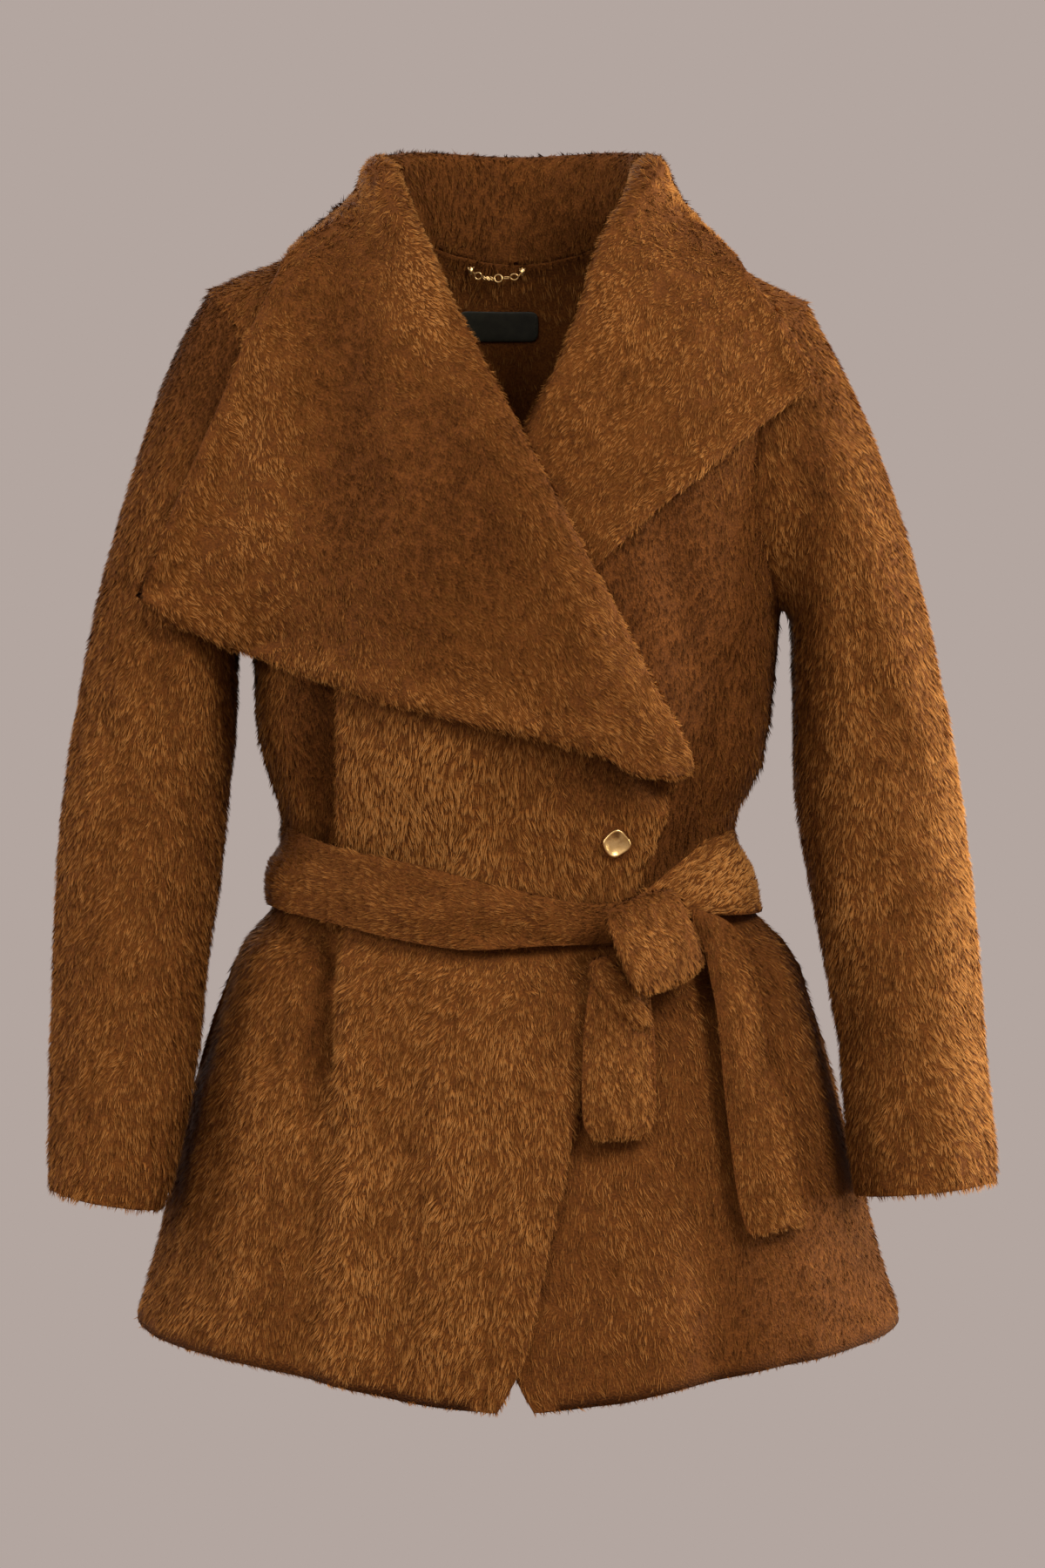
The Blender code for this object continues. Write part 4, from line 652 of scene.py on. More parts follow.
def shift_edges(node, points):
    """Moves a panel's points at its hem, seams and front edges, in place."""
    if node in BODY_PANELS:
        rise = along_table(np.abs(points[:, 0]), HEM_RISE)
        points[:, 2] += rise * smooth((HEM_FROM - points[:, 2]) / 0.06)
    if node in BODY_PANELS + ("collar", "lapel_left", "lapel_right"):
        behind = 1 if node in ("back", "collar") else -1
        near = np.clip(1 - np.abs(points[:, 1]) / SEAM_OVER, 0, 1)
        points[:, 1] -= behind * SEAM_DRAW * near
    if node.startswith("front"):
        way = 1 if node == "front_right" else -1
        shift = along_table(points[:, 2], EDGE_MEET)
        beside = points[:, 0] - way * along_table(points[:, 2], EDGE_AT)
        points[:, 0] += way * shift * np.exp(-(beside / EDGE_HALF) ** 2)
    if node.startswith(("front", "lapel")):
        side = node.split("_")[1]
        beside = points[:, 0] - along_table(points[:, 2], INNER_AT[side])
        ease = along_table(points[:, 2], INNER_EASE[side])
        points[:, 0] += ease * np.exp(-(beside / INNER_HALF) ** 2)


def crease(node, mesh):
    """Moves a shell by its tables, and returns how far each point was moved out."""
    points = points_of(mesh)
    normals = normals_of(mesh)
    upper = np.clip(0.5 - normals[:, 1], 0, 1)
    if node.startswith("sleeve"):
        middle = sleeve_middle(points)
        out = away_from(points, middle)
        fade = np.clip((-0.12 - points[:, 2]) / 0.10, 0, 1)      # from the armhole down
        height = blend_sides(points, middle[:, 1], SLEEVE_FRONT_CREASES, SLEEVE_BACK_CREASES)
        height = (height + uneven(points)) * fade
        outside = smooth((np.abs(points[:, 0]) - np.abs(middle[:, 0])) / 0.04)
        slim = CUFF_SLIM * outside * smooth((-0.42 - points[:, 2]) / 0.12)
        points[:, 0] -= np.sign(points[:, 0]) * slim
    else:
        out = away_from(points, points * 0)
        height = blend_sides(points, 0.0, FRONT_CREASES, BACK_CREASES) + uneven(points)
    if node.startswith("front"):
        height += crease_height(points, FOLD_CREASES)
    shift_edges(node, points)
    if node == "belt":
        facing = (normals * out).sum(axis=1)
        height += (belt_bulge(points) + crease_height(points, BELT_CREASES)) * (facing > 0)
        side = smooth((np.abs(points[:, 0]) - 0.11) / 0.04)
        height -= BELT_TOP_IN * side * smooth((points[:, 2] + 0.440) / 0.024)
    if node.startswith("belt_end"):
        edges = LONG_EDGES if node == "belt_end_long" else SHORT_EDGES
        points[:, 1] -= end_bulge(points, edges) * upper
    points = points + out * height[:, None]
    if node.startswith("lapel"):
        rows = LAPEL_RIGHT_RIDGES if node == "lapel_right" else LAPEL_LEFT_RIDGES
        puffed = crease_height(points, rows) * upper
        points[:, 1] -= puffed
        height = height + puffed
    set_points(mesh, points)
    return height


relief = {}
for node, mesh in shell_meshes.items():
    relief[node] = crease(node, mesh)
    low, high = relief[node].min() * 1000, relief[node].max() * 1000
    print(node, "moves by", round(low, 1), "to", round(high, 1), "mm")

# %% [markdown]
# ## The knot
# The knot's solid is a plain lump. Here it is the wrap of a real one: a band that runs over
# the front from the upper left to the lower right, with a shallow valley where its two turns
# meet, and below it the short end's top, folded over into a tongue. Both are closed rings of
# points, skinned with quads. The wrap leans as its solid does, and rays find the face of the
# short end that the tongue lies on.

# %% Knot
KNOT_AXIS = Vector((0.930, 0.0, 0.368))      # the band is wrapped round this direction
KNOT_DOWN = Vector((0.368, 0.0, -0.930))
KNOT_X = 0.088
KNOT_LEVEL = -0.4805
KNOT_TALL = 0.0305           # its half height and half depth
KNOT_DEEP = 0.0150
# along the axis and share of the full radius, from the left end to the right one
KNOT_PROFILE = ((-0.0200, 0.02), (-0.0222, 0.34), (-0.0232, 0.62), (-0.0222, 0.82),
                (-0.0190, 0.95), (-0.0130, 1.00), (-0.0060, 1.02), (0.0010, 1.02),
                (0.0070, 1.01), (0.0125, 0.99), (0.0180, 0.96), (0.0232, 0.90),
                (0.0268, 0.78), (0.0284, 0.60), (0.0280, 0.34), (0.0260, 0.02))
KNOT_AROUND = 36             # points in a ring of the wrap, and of the tongue
TONGUE_AROUND = 14
VALLEY_AT = 0.0125           # along the axis
VALLEY_DEEP = 0.0048
VALLEY_HALF = 0.0042
# the tongue: x, level and radius from where it leaves the knot to its tip
TONGUE = ((0.0520, -0.4900, 0.0075), (0.0575, -0.5010, 0.0100), (0.0645, -0.5130, 0.0112),
          (0.0735, -0.5240, 0.0104), (0.0820, -0.5315, 0.0078), (0.0880, -0.5350, 0.0042))
TONGUE_FLAT = 0.55           # its depth as a part of its width
TONGUE_OUT = 0.6             # the part of its depth that its middle lies above the short end
REST_SIDES = (0.0520, 0.0870)    # what it lies on: from and to this x,
REST_TOP = -0.5030               # below this level


def tilt_of(points):
    """How a piece's depth changes along x and level, as two slopes."""
    away = points - points.mean(axis=0)
    return np.linalg.lstsq(away[:, (0, 2)], away[:, 1], rcond=None)[0]


def skin(made, rings):
    """Quads between closed rings of points, and a cap at both ends."""
    rows = [[made.verts.new(point) for point in ring] for ring in rings]
    for row, after in zip(rows, rows[1:]):
        for i in range(len(row)):
            j = (i + 1) % len(row)
            made.faces.new((row[i], row[j], after[j], after[i]))
    made.faces.new(rows[0][::-1])
    made.faces.new(rows[-1])


def knot_ring(middle, along, share):
    """A ring of the wrap at a place along its axis, with the valley in its front."""
    ring = []
    for k in range(KNOT_AROUND):
        turn = 2 * math.pi * k / KNOT_AROUND
        top = max(-math.sin(turn), 0) ** 0.5 * max(math.cos(turn) + 0.25, 0)
        valley = VALLEY_DEEP * top * math.exp(-((along - VALLEY_AT) / VALLEY_HALF) ** 2)
        ring.append(middle + KNOT_AXIS * along
                    + Vector((0, -1, 0)) * math.cos(turn) * (KNOT_DEEP * share - valley)
                    + KNOT_DOWN * math.sin(turn) * (KNOT_TALL * share - valley))
    return ring


def tongue_ring(k):
    """A ring of the tongue, lying on the face of the short end below it."""
    x, z, radius = TONGUE[k]
    feeler = Vector((min(max(x, REST_SIDES[0]), REST_SIDES[1]), -1, min(z, REST_TOP)))
    below = short_tree.ray_cast(feeler, Vector((0, 1, 0)))[0].y
    depth = below - radius * TONGUE_FLAT * TONGUE_OUT
    before, after = TONGUE[max(k - 1, 0)], TONGUE[min(k + 1, len(TONGUE) - 1)]
    run = Vector((after[0] - before[0], 0, after[1] - before[1])).normalized()
    beside = Vector((run.z, 0, -run.x))
    ring = []
    for i in range(TONGUE_AROUND):
        turn = 2 * math.pi * i / TONGUE_AROUND
        ring.append(Vector((x, depth, z)) + beside * radius * math.cos(turn)
                    + Vector((0, -1, 0)) * radius * TONGUE_FLAT * math.sin(turn))
    return ring


knot_low, knot_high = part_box("belt_knot")
short_tree = search_tree([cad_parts["belt_end_short"].data])
knot_middle = Vector((KNOT_X, (knot_low[1] + knot_high[1]) / 2, KNOT_LEVEL))
knot_tilt = tilt_of(points_of(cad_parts["belt_knot"].data))
knot_shape = bmesh.new()
skin(knot_shape, [knot_ring(knot_middle, *row) for row in KNOT_PROFILE])
for vertex in knot_shape.verts:
    away = vertex.co - knot_middle
    vertex.co.y += knot_tilt[0] * away.x + knot_tilt[1] * away.z
skin(knot_shape, [tongue_ring(k) for k in range(len(TONGUE))])
bmesh.ops.recalc_face_normals(knot_shape, faces=knot_shape.faces)
knot_mesh = bpy.data.meshes.new("belt_knot_rough")
knot_shape.to_mesh(knot_mesh)
knot_shape.free()
knot_cloth = subdivided(knot_mesh, "CATMULL_CLARK", 1)
knot_cloth.name = "belt_knot_cloth"
shell_meshes["belt_knot"] = knot_cloth
contact_shade["belt_knot"] = np.zeros(len(knot_cloth.vertices))
relief["belt_knot"] = np.zeros(len(knot_cloth.vertices))
print("knot depth", round(knot_middle.y, 4), "tilt", [round(v, 3) for v in knot_tilt])

# %% [markdown]
# ## The pile
# A pile can be made with hair curves, but curves can't be carried into a mesh file. Here each
# fibre is one narrow triangle, rooted in the cloth and tilted down along the nap, and all the
# fibres of a piece are joined into one mesh. They grow only on faces that can be seen: a ray
# from each face tells whether another layer of cloth lies right on it, and inside the coat
# only what shows at the neck, the hem and the cuffs has pile.

# %% Where pile grows
COVER_REACH = 0.012          # cloth nearer than this hides the pile below
FEELER_START = 0.0006        # how far above its own face a feeling ray starts
INSIDE_FACING = -0.25        # faces turned in by more than this are the coat's inside
INSIDE_SHARE = 0.7           # of the pile, where the inside shows
COVERED_SHARE = 0.35         # of the pile, under cloth that stands off a little
NECK_INSIDE = -0.20          # the levels down to which, or up to which, the inside shows
FRONT_INSIDE = -0.40
HEM_INSIDE = -0.79
CUFF_INSIDE = -0.62
CLEAR_DEPTH = 0.030          # pile further behind a label or button than this is left alone

cloth_tree = search_tree(shell_meshes.values())
print("faces in the search tree", sum(len(mesh.polygons) for mesh in shell_meshes.values()))


def faces_of(mesh):
    """Triangles of a mesh as arrays: corners, their points and normals, middles, areas."""
    mesh.calc_loop_triangles()
    corners = np.zeros(len(mesh.loop_triangles) * 3, np.int32)
    mesh.loop_triangles.foreach_get("vertices", corners)
    corners = corners.reshape(-1, 3)
    at = points_of(mesh)[corners]
    area = np.linalg.norm(np.cross(at[:, 1] - at[:, 0], at[:, 2] - at[:, 0]), axis=1) / 2
    return corners, at, normals_of(mesh)[corners], at.mean(axis=1), area


def middle_and_half(node):
    low, high = (np.array(corner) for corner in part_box(node))
    return (low + high) / 2, (high - low) / 2


LABEL_BOX = middle_and_half("neck_label")
BUTTON_BOX = middle_and_half("button")


def pressed_flat(points):
    """True where the label or the button holds the pile down."""
    middle, half = LABEL_BOX
    away = np.abs(points - middle) / (half + (0.0006, CLEAR_DEPTH, 0.0004))
    on_label = (away < 1).all(axis=1)
    middle, half = BUTTON_BOX
    away = (points - middle) / (half + (0.0004, CLEAR_DEPTH, 0.0004))
    on_button = (away[:, 0] ** 2 + away[:, 2] ** 2 < 1) & (np.abs(away[:, 1]) < 1)
    return on_label | on_button


def openness(node, middles, normals):
    """From 0 to 1, how much of the pile at each face can be seen."""
    share = np.ones(len(middles))
    sleeve = node.startswith("sleeve")
    if node in BODY_PANELS or sleeve:
        level = middles[:, 2]
        middle = sleeve_middle(middles) if sleeve else middles * 0
        facing = np.einsum("ij,ij->i", away_from(middles, middle), normals)
        inside = facing < INSIDE_FACING
        near = level > NECK_INSIDE if node == "back" else level < HEM_INSIDE
        if sleeve:
            near = level < CUFF_INSIDE
        if node.startswith("front"):
            near |= level > FRONT_INSIDE
        share[inside & ~near] = 0.0
        share[inside & near] = INSIDE_SHARE
    for i in np.nonzero(share > 0)[0]:
        start = Vector(middles[i]) + Vector(normals[i]) * FEELER_START
        hit = cloth_tree.ray_cast(start, Vector(normals[i]), COVER_REACH)
        if hit[0] is not None:
            share[i] *= 0.0 if hit[3] < 0.5 * COVER_REACH else COVERED_SHARE
    return share


# %% [markdown]
# ## Which way the pile lies
# The cloth is cut with its nap running down. On the turned-out lapels it slants towards the
# middle, and at their outer edges the fibres stand out past the fold. On the belt it runs
# along the band, away from the knot, and on the knot along the wrap.

# %% Nap directions
EDGE_NAP = 0.75              # how far an edge fibre leans out of the cloth's plane
EDGE_FACING = 1.25           # how soon a face of a lapel that turns away counts as its edge
DOWN = (0.0, 0.0, -1.0)
NAPS = {
    "lapel_right": (0.62, 0.0, -0.78),
    "lapel_left": (-0.60, 0.0, -0.80),
    "belt_knot": (0.48, 0.0, -0.88),
    "belt_end_long": (0.20, 0.0, -0.98),
}


def edge_share(normals):
    """From 0 on a lapel's face to 1 on its cut edge."""
    return np.clip(1.0 - np.abs(normals[:, 1]) * EDGE_FACING, 0, 1)


def nap_of(node, points, normals):
    """The direction in which the pile lies at each point, before it is laid on the cloth."""
    side = np.where(points[:, 0] < 0, -1.0, 1.0)
    nap = np.tile(NAPS.get(node, DOWN), (len(points), 1))
    if node.startswith("sleeve"):
        nap[:, 0] = 0.22 * side
        nap[:, 1] = -0.08
    elif node == "belt":
        across = np.stack((-points[:, 1], points[:, 0], points[:, 0] * 0), axis=1)
        half = np.where(points[:, 0] < KNOT_X * (points[:, 1] < 0), -1.0, 1.0)
        nap = across * (half / np.linalg.norm(across, axis=1))[:, None]
        nap[:, 2] = np.where(half < 0, 0.18, 0.42)
    elif node in BODY_PANELS:
        nap[:, 0] = 0.10 * side
    if node.startswith("lapel"):
        edge = edge_share(normals)[:, None]
        nap = nap * (1 - edge) + normals * (1, 0.2, 1) * edge * EDGE_NAP
    return nap


print("nap directions ready")

# %% [markdown]
# ## How long, thick and light it is
# Each piece has a number of fibres for its area, a length and a width. Fibres differ in tone in
# slow waves, in small tufts and one by one. Shade is painted on them in the gaps between tufts
# and clumps, in troughs, under other cloth and where the belt turns away, and light on cut
# edges and raised cloth, with painted light and shade in a few listed spots.

# %% Pile tables
TUFT = 0.0085                # size of the waves in which the nap swings
TUFT_SWING = 0.42            # and how far it swings in them
SWIRL = 0.030                # size of the wider ones
SWIRL_SWING = 0.30
STRAY = 0.16                 # how far single fibres go astray
LIFT = 18                    # degrees that fibres stand off the cloth, how much this changes
LIFT_WAVES = 8               # in waves and by fibre, and its limits
LIFT_STRAY = 7
LIFT_RANGE = (math.radians(5), math.radians(48))
ROLL = math.radians(24)      # how far fibres are turned about their own length
CLUMP = 0.0038               # distance between the clumps that the fibres gather into
CLUMP_PULL = 0.50            # how far a fibre's tip is drawn to its clump's
CLUMP_SPREAD = 0.30          # part of their distance that the tips in a clump keep
ROOT_SUNK = 0.0006
FIBRE_RELIEF = 0.45          # how much a fibre is shaded by its own tilt, not the cloth's
EDGE_SEARCH = 0.007          # how far below a tip the cloth is looked for
EDGE_LENGTH = 0.70           # share of a fibre's length that is left past a cut edge
HEM_ABOVE = -0.66            # pile lower than this may hang past the hem or a cuff
SHADE_MIDDLE = 0.52
TUFT_CELL = (0.0026, 0.0026, 0.006)      # size of the tufts that differ in shade
# tufts differ in their own tone, and capping the lightest leaves dark gaps between them as
# painted shade
TUFT_SHADE = 0.38
TUFT_LIGHTEST = 0.30
PATCH = 0.030                # size of the wide waves of shade
PATCH_SHADE = 0.13
CLUMP_SHADE = 0.050
FIBRE_STRAY = 0.12           # how much single fibres differ in shade
APART_PAINTED_SHADE = 0.14            # painted shade: how much darker fibres are between clumps than within
CONTACT_SHADE_DARK = 0.42           # how much painted shade darkens pile right under another piece
RELIEF_PAINTED_SHADE = 28.0          # painted shade in a trough and painted light on raised cloth, for each metre of height, within the range below
RELIEF_RANGE = (-0.46, 0.12)
BELT_EDGE_PAINTED_SHADE = 0.30             # painted shade on the belt's pile where it turns away from the light
# the facing below which the belt's painted shade starts
BELT_ROUND = 0.85
DOWN_EDGE_PAINTED_LIGHT = 0.40             # painted light on pile round a cut edge that faces down, which lies in shade
LAPEL_EDGE_PAINTED_LIGHT = 0.18       # and painted light on a lapel's cut edge
# painted light and shade in spots, where the coat's folds, edges and overlaps catch light or
# lie in shadow: piece, x, level, half width and half height of the spot, how much lighter
# (darker is negative)
PAINTED_LIGHT_SPOTS = (
    ("lapel_right", -0.050, -0.200, 0.072, 0.082, -0.58),
    ("lapel_right", -0.112, -0.110, 0.026, 0.090, -0.26),
    ("lapel_right", -0.150, -0.060, 0.020, 0.060, -0.10),
    ("lapel_right", -0.060, -0.055, 0.020, 0.050, 0.34),
    ("lapel_right", -0.165, -0.190, 0.026, 0.070, 0.18),
    ("lapel_right", -0.010, -0.290, 0.050, 0.014, -0.10),
    ("sleeve_right", -0.200, -0.085, 0.040, 0.060, -0.95),
    ("sleeve_left", 0.305, -0.400, 0.034, 0.220, 0.66),
    ("sleeve_left", 0.235, -0.180, 0.022, 0.110, 0.14),
    ("sleeve_left", 0.196, -0.200, 0.012, 0.120, -0.34),
    ("sleeve_left", 0.216, -0.440, 0.016, 0.160, 0.30),
    ("front_left", 0.095, -0.285, 0.070, 0.110, -0.88),
    ("front_left", 0.106, -0.420, 0.012, 0.040, -0.60),
    ("front_left", 0.210, -0.520, 0.018, 0.090, 0.40),
    ("front_left", 0.165, -0.710, 0.080, 0.080, -0.46),
    ("front_left", 0.096, -0.690, 0.040, 0.060, 0.42),
    ("front_right", -0.060, -0.400, 0.100, 0.080, 0.24),
    ("front_right", -0.080, -0.640, 0.110, 0.140, 0.24),
    ("front_right", 0.058, -0.376, 0.046, 0.018, -0.60),
    ("front_right", 0.090, -0.405, 0.007, 0.034, 0.26),
    ("front_right", -0.130, -0.340, 0.018, 0.085, -0.80),
    ("front_right", -0.110, -0.350, 0.008, 0.080, 0.16),
    ("front_right", -0.128, -0.530, 0.014, 0.070, -0.26),
    ("front_right", -0.160, -0.700, 0.012, 0.100, -0.12),
    ("back", 0.000, -0.100, 0.100, 0.080, -0.22),
    ("collar", 0.000, 0.010, 0.090, 0.060, -0.50),
    ("belt", 0.142, -0.445, 0.030, 0.030, 0.80),
    ("belt", -0.060, -0.460, 0.090, 0.040, -0.22),
    ("belt", 0.056, -0.478, 0.010, 0.024, -0.40),
    ("belt_knot", 0.105, -0.490, 0.010, 0.030, -0.16),
    ("belt_knot", 0.066, -0.490, 0.008, 0.030, -0.16),
    ("belt_end_long", 0.122, -0.474, 0.008, 0.020, -0.30),
    ("belt_knot", 0.088, -0.482, 0.018, 0.026, 0.10),
    ("belt_end_short", 0.072, -0.530, 0.034, 0.016, -0.26),
    ("belt_end_long", 0.152, -0.520, 0.010, 0.060, 0.16),
    ("belt_end_long", 0.176, -0.640, 0.012, 0.060, 0.12),
    ("belt_end_long", 0.136, -0.560, 0.010, 0.090, -0.22),
)
# node: number of fibres, length, width
PILE_ROWS = {
    "back": (108000, 0.0066, 0.00095),
    "front_left": (48000, 0.0066, 0.00082),
    "front_right": (120000, 0.0066, 0.00080),
    "sleeve_left": (92000, 0.0064, 0.00086),
    "sleeve_right": (92000, 0.0064, 0.00086),
    "collar": (42000, 0.0060, 0.00085),
    "lapel_left": (46000, 0.0056, 0.00078),
    "lapel_right": (88000, 0.0056, 0.00078),
    "belt": (30000, 0.0054, 0.00080),
    "belt_end_short": (8000, 0.0052, 0.00078),
    "belt_end_long": (11000, 0.0052, 0.00078),
    "belt_knot": (9000, 0.0052, 0.00078),
}
PILE_SHARE = 1.0
print(len(PAINTED_LIGHT_SPOTS), "painted_light_spots")

# %% [markdown]
# ## Sowing
# Roots are picked at random over the open faces. Each fibre gets its own direction, then its
# tip is drawn towards that of a neighbour, which parts the pile into small clumps. The corner
# normals of a fibre follow the cloth below it, so the pile is lit as the cloth would be.

# %% Sow the pile


def unit_rows(rows):
    return rows / np.maximum(np.linalg.norm(rows, axis=1), 1e-9)[:, None]


def trim_past_edges(tip, normal, length, wanted):
    """Shortens fibres that reach past the cloth's cut edge: nothing lies behind their tips."""
    for i in np.nonzero(wanted)[0]:
        hit = cloth_tree.ray_cast(Vector(tip[i]), -Vector(normal[i]), EDGE_SEARCH)
        if hit[0] is None:
            length[i] *= EDGE_LENGTH
    return length


def painted_light_spots(node, points):
    """How much lighter each point is painted by the spots of light and shade on its piece."""
    total = np.zeros(len(points))
    for piece, x, z, half_x, half_z, amount in PAINTED_LIGHT_SPOTS:
        if piece == node:
            away = ((points[:, 0] - x) / half_x) ** 2 + ((points[:, 2] - z) / half_z) ** 2
            total += amount * np.exp(-away)
    return total


def gather(root, along, long, area, chance):
    """Draws fibres together into clumps. Returns tips, and each one's clump and distance."""
    number = max(int(area / CLUMP ** 2), 4)
    heads = chance.choice(len(root), number, replace=False)
    tree = KDTree(number)
    for i, head in enumerate(heads):
        tree.insert(root[head], i)
    tree.balance()
    clump = np.array([tree.find(point)[1] for point in root])
    head = heads[clump]
    apart = root - root[head]
    drawn = root[head] + along[head] * long + apart * CLUMP_SPREAD
    tip = (root + along * long) * (1 - CLUMP_PULL) + drawn * CLUMP_PULL
    return tip, clump, np.linalg.norm(apart, axis=1) / CLUMP


def scatter(node, mesh, count, chance):
    """Picks roots over the open faces of a shell. Returns the roots, their normals, how much
    painted shade each gets from lying under another piece, how far it was moved out, and the
    area with pile."""
    corners, at, corner_normals, middles, area = faces_of(mesh)
    weight = area * openness(node, middles, unit_rows(corner_normals.sum(axis=1)))
    picked = chance.choice(len(weight), count, p=weight / weight.sum())
    first, second = chance.random(count), chance.random(count)
    fold = first + second > 1
    first[fold], second[fold] = 1 - first[fold], 1 - second[fold]
    shares = np.stack((1 - first - second, first, second), axis=1)[:, :, None]
    root = (at[picked] * shares).sum(axis=1)
    normal = unit_rows((corner_normals[picked] * shares).sum(axis=1))
    under = (contact_shade[node][corners[picked]] * shares[:, :, 0]).sum(axis=1)
    raised = (relief[node][corners[picked]] * shares[:, :, 0]).sum(axis=1)
    return root, normal, under, raised, area[weight > 0].sum()


def directions(node, root, normal, chance):
    """Which way each fibre grows: along the nap, astray, and lifted off the cloth."""
    count = len(root)
    lean = nap_of(node, root, normal)
    for axis in range(3):
        lean[:, axis] += TUFT_SWING * lattice_noise(root, TUFT, 31 + axis)
        lean[:, axis] += SWIRL_SWING * lattice_noise(root, SWIRL, 41 + axis)
    lean += chance.normal(0, STRAY, (count, 3))
    lean = unit_rows(lean - normal * (lean * normal).sum(axis=1)[:, None])
    lift = np.radians(LIFT + LIFT_WAVES * lattice_noise(root, TUFT, 51)
                      + chance.normal(0, LIFT_STRAY, count))
    lift = np.clip(lift, *LIFT_RANGE)[:, None]
    return lean * np.cos(lift) + normal * np.sin(lift)


def shade_of(node, root, normal, under, raised, clump, apart, chance):
    """How light each fibre is, from nearly 0 to nearly 1: its own tone, with painted light and
    shade.
    """
    tufts = lattice_noise(root, TUFT_CELL, 61)
    shade = (SHADE_MIDDLE + TUFT_SHADE * np.minimum(tufts, TUFT_LIGHTEST)
             + PATCH_SHADE * lattice_noise(root, PATCH, 62)
             + chance.normal(0, CLUMP_SHADE, clump.max() + 1)[clump]
             + chance.normal(0, FIBRE_STRAY, len(root)) - APART_PAINTED_SHADE * (apart - 0.4))
    # painted light on cut edges: a lapel's, and any that face down
    if node.startswith("lapel"):
        shade += LAPEL_EDGE_PAINTED_LIGHT * edge_share(normal)
    else:
        shade += DOWN_EDGE_PAINTED_LIGHT * np.clip(-normal[:, 2], 0, 1)
    # painted shade in troughs and painted light on raised cloth
    # painted shade under other cloth
    shade -= CONTACT_SHADE_DARK * under - np.clip(raised * RELIEF_PAINTED_SHADE, *RELIEF_RANGE)
    # painted shade where the belt's faces turn away
    if node.startswith("belt"):
        shade -= BELT_EDGE_PAINTED_SHADE * np.clip(1.0 - np.abs(normal[:, 1] / BELT_ROUND), 0, 1)
    # painted light and shade of the listed spots
    return np.clip(shade + painted_light_spots(node, root), 0.02, 0.98)


def fibre_piece(name, points, shade, facing):
    """One object of triangles, from three points for each fibre, its shade and its normal."""
    count = len(shade)
    pile = bpy.data.meshes.new(name)
    pile.vertices.add(count * 3)
    pile.vertices.foreach_set("co", np.ascontiguousarray(points, np.float32).ravel())
    pile.loops.add(count * 3)
    pile.loops.foreach_set("vertex_index", np.arange(count * 3, dtype=np.int32))
    pile.polygons.add(count)
    pile.polygons.foreach_set("loop_start", np.arange(0, count * 3, 3, dtype=np.int32))
    uv = np.zeros((count, 3, 2), np.float32)
    uv[:, :, 0] = shade[:, None] + np.array((-0.01, 0.01, 0.0))
    uv[:, 2, 1] = 1.0
    pile.uv_layers.new(name="OFBake").data.foreach_set("uv", uv.ravel())
    pile.update(calc_edges=True)
    pile.polygons.foreach_set("use_smooth", np.ones(count, bool))
    pile.normals_split_custom_set_from_vertices(np.repeat(facing, 3, axis=0))
    pile.materials.append(PILE)
    piece = bpy.data.objects.new(name, pile)
    scene.collection.objects.link(piece)
    return piece


def sow_pile(node, mesh, seed):
    """One mesh of single-triangle fibres over the open faces of a shell."""
    count, length, width = PILE_ROWS[node]
    count = int(count * PILE_SHARE)
    width = width / math.sqrt(PILE_SHARE)
    chance = np.random.default_rng(seed)
    root, normal, under, raised, area = scatter(node, mesh, count, chance)

    along = directions(node, root, normal, chance)
    long = length * (0.86 + 0.28 * chance.random(count))[:, None]
    hanging = (root[:, 2] < HEM_ABOVE) | node.startswith("belt_end")
    long = trim_past_edges(root + along * long, normal, long, hanging)
    tip, clump, apart = gather(root, along, long, area, chance)
    along = unit_rows(tip - root)
    across = unit_rows(np.cross(along, normal))
    roll = chance.normal(0, ROLL, count)[:, None]
    across = across * np.cos(roll) + np.cross(along, across) * np.sin(roll)
    wide = width * (0.8 + 0.4 * chance.random(count))[:, None]
    base = root - normal * ROOT_SUNK
    points = np.stack((base - across * wide / 2, base + across * wide / 2, tip), axis=1)

    shade = shade_of(node, root, normal, under, raised, clump, apart, chance)
    facing = unit_rows(np.cross(across, along) * FIBRE_RELIEF + normal)
    free = ~(pressed_flat(root) | pressed_flat(tip))
    return fibre_piece(node + "_pile", points[free], shade[free], facing[free])


pile_pieces = {}
for seed, node in enumerate(WOOL_NODES):
    pile_pieces[node] = sow_pile(node, shell_meshes[node], 100 + seed)
print("fibres", sum(len(piece.data.polygons) for piece in pile_pieces.values()))

# %% [markdown]
# ## Cloth pieces on the coat
# Each shell takes the place of its solid, and half of its surface is printed as the area of one
# side of the cloth. The cut is flat, so a sleeve is as wide as it is all round, and a lapel
# counts both what shows and what turns under.

for node in WOOL_NODES:
    piece = add_piece(node + "_cloth", shell_meshes[node], BACKING)
    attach(piece, "coat")
    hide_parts(node)
    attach(pile_pieces[node], "coat")
    surface = sum(polygon.area for polygon in piece.data.polygons)
    print(node, "one side", round(surface / 2, 4), "m2")

# %% [markdown]
# ## The neck label
# A woven satin patch, sewn down at both ends. It stays bare. Its shell is the solid's own,
# rounded at the edge. The weave is a pair of fine wave patterns that cross, used as bump, and
# the stitches are short rods that dip into the satin.

# %% Label
SATIN_SCALE = 1250.0         # a wave every quarter of a millimetre
STITCHES = 7                 # at each end of the label
STITCH_INSET = 0.0022        # from the label's end
STITCH_SPAN = 0.86           # share of the label's height that they are spread over
STITCH_HALF = 0.00085
STITCH_RADIUS = 0.00024
STITCH_OUT = Vector((0, -0.00012, 0))


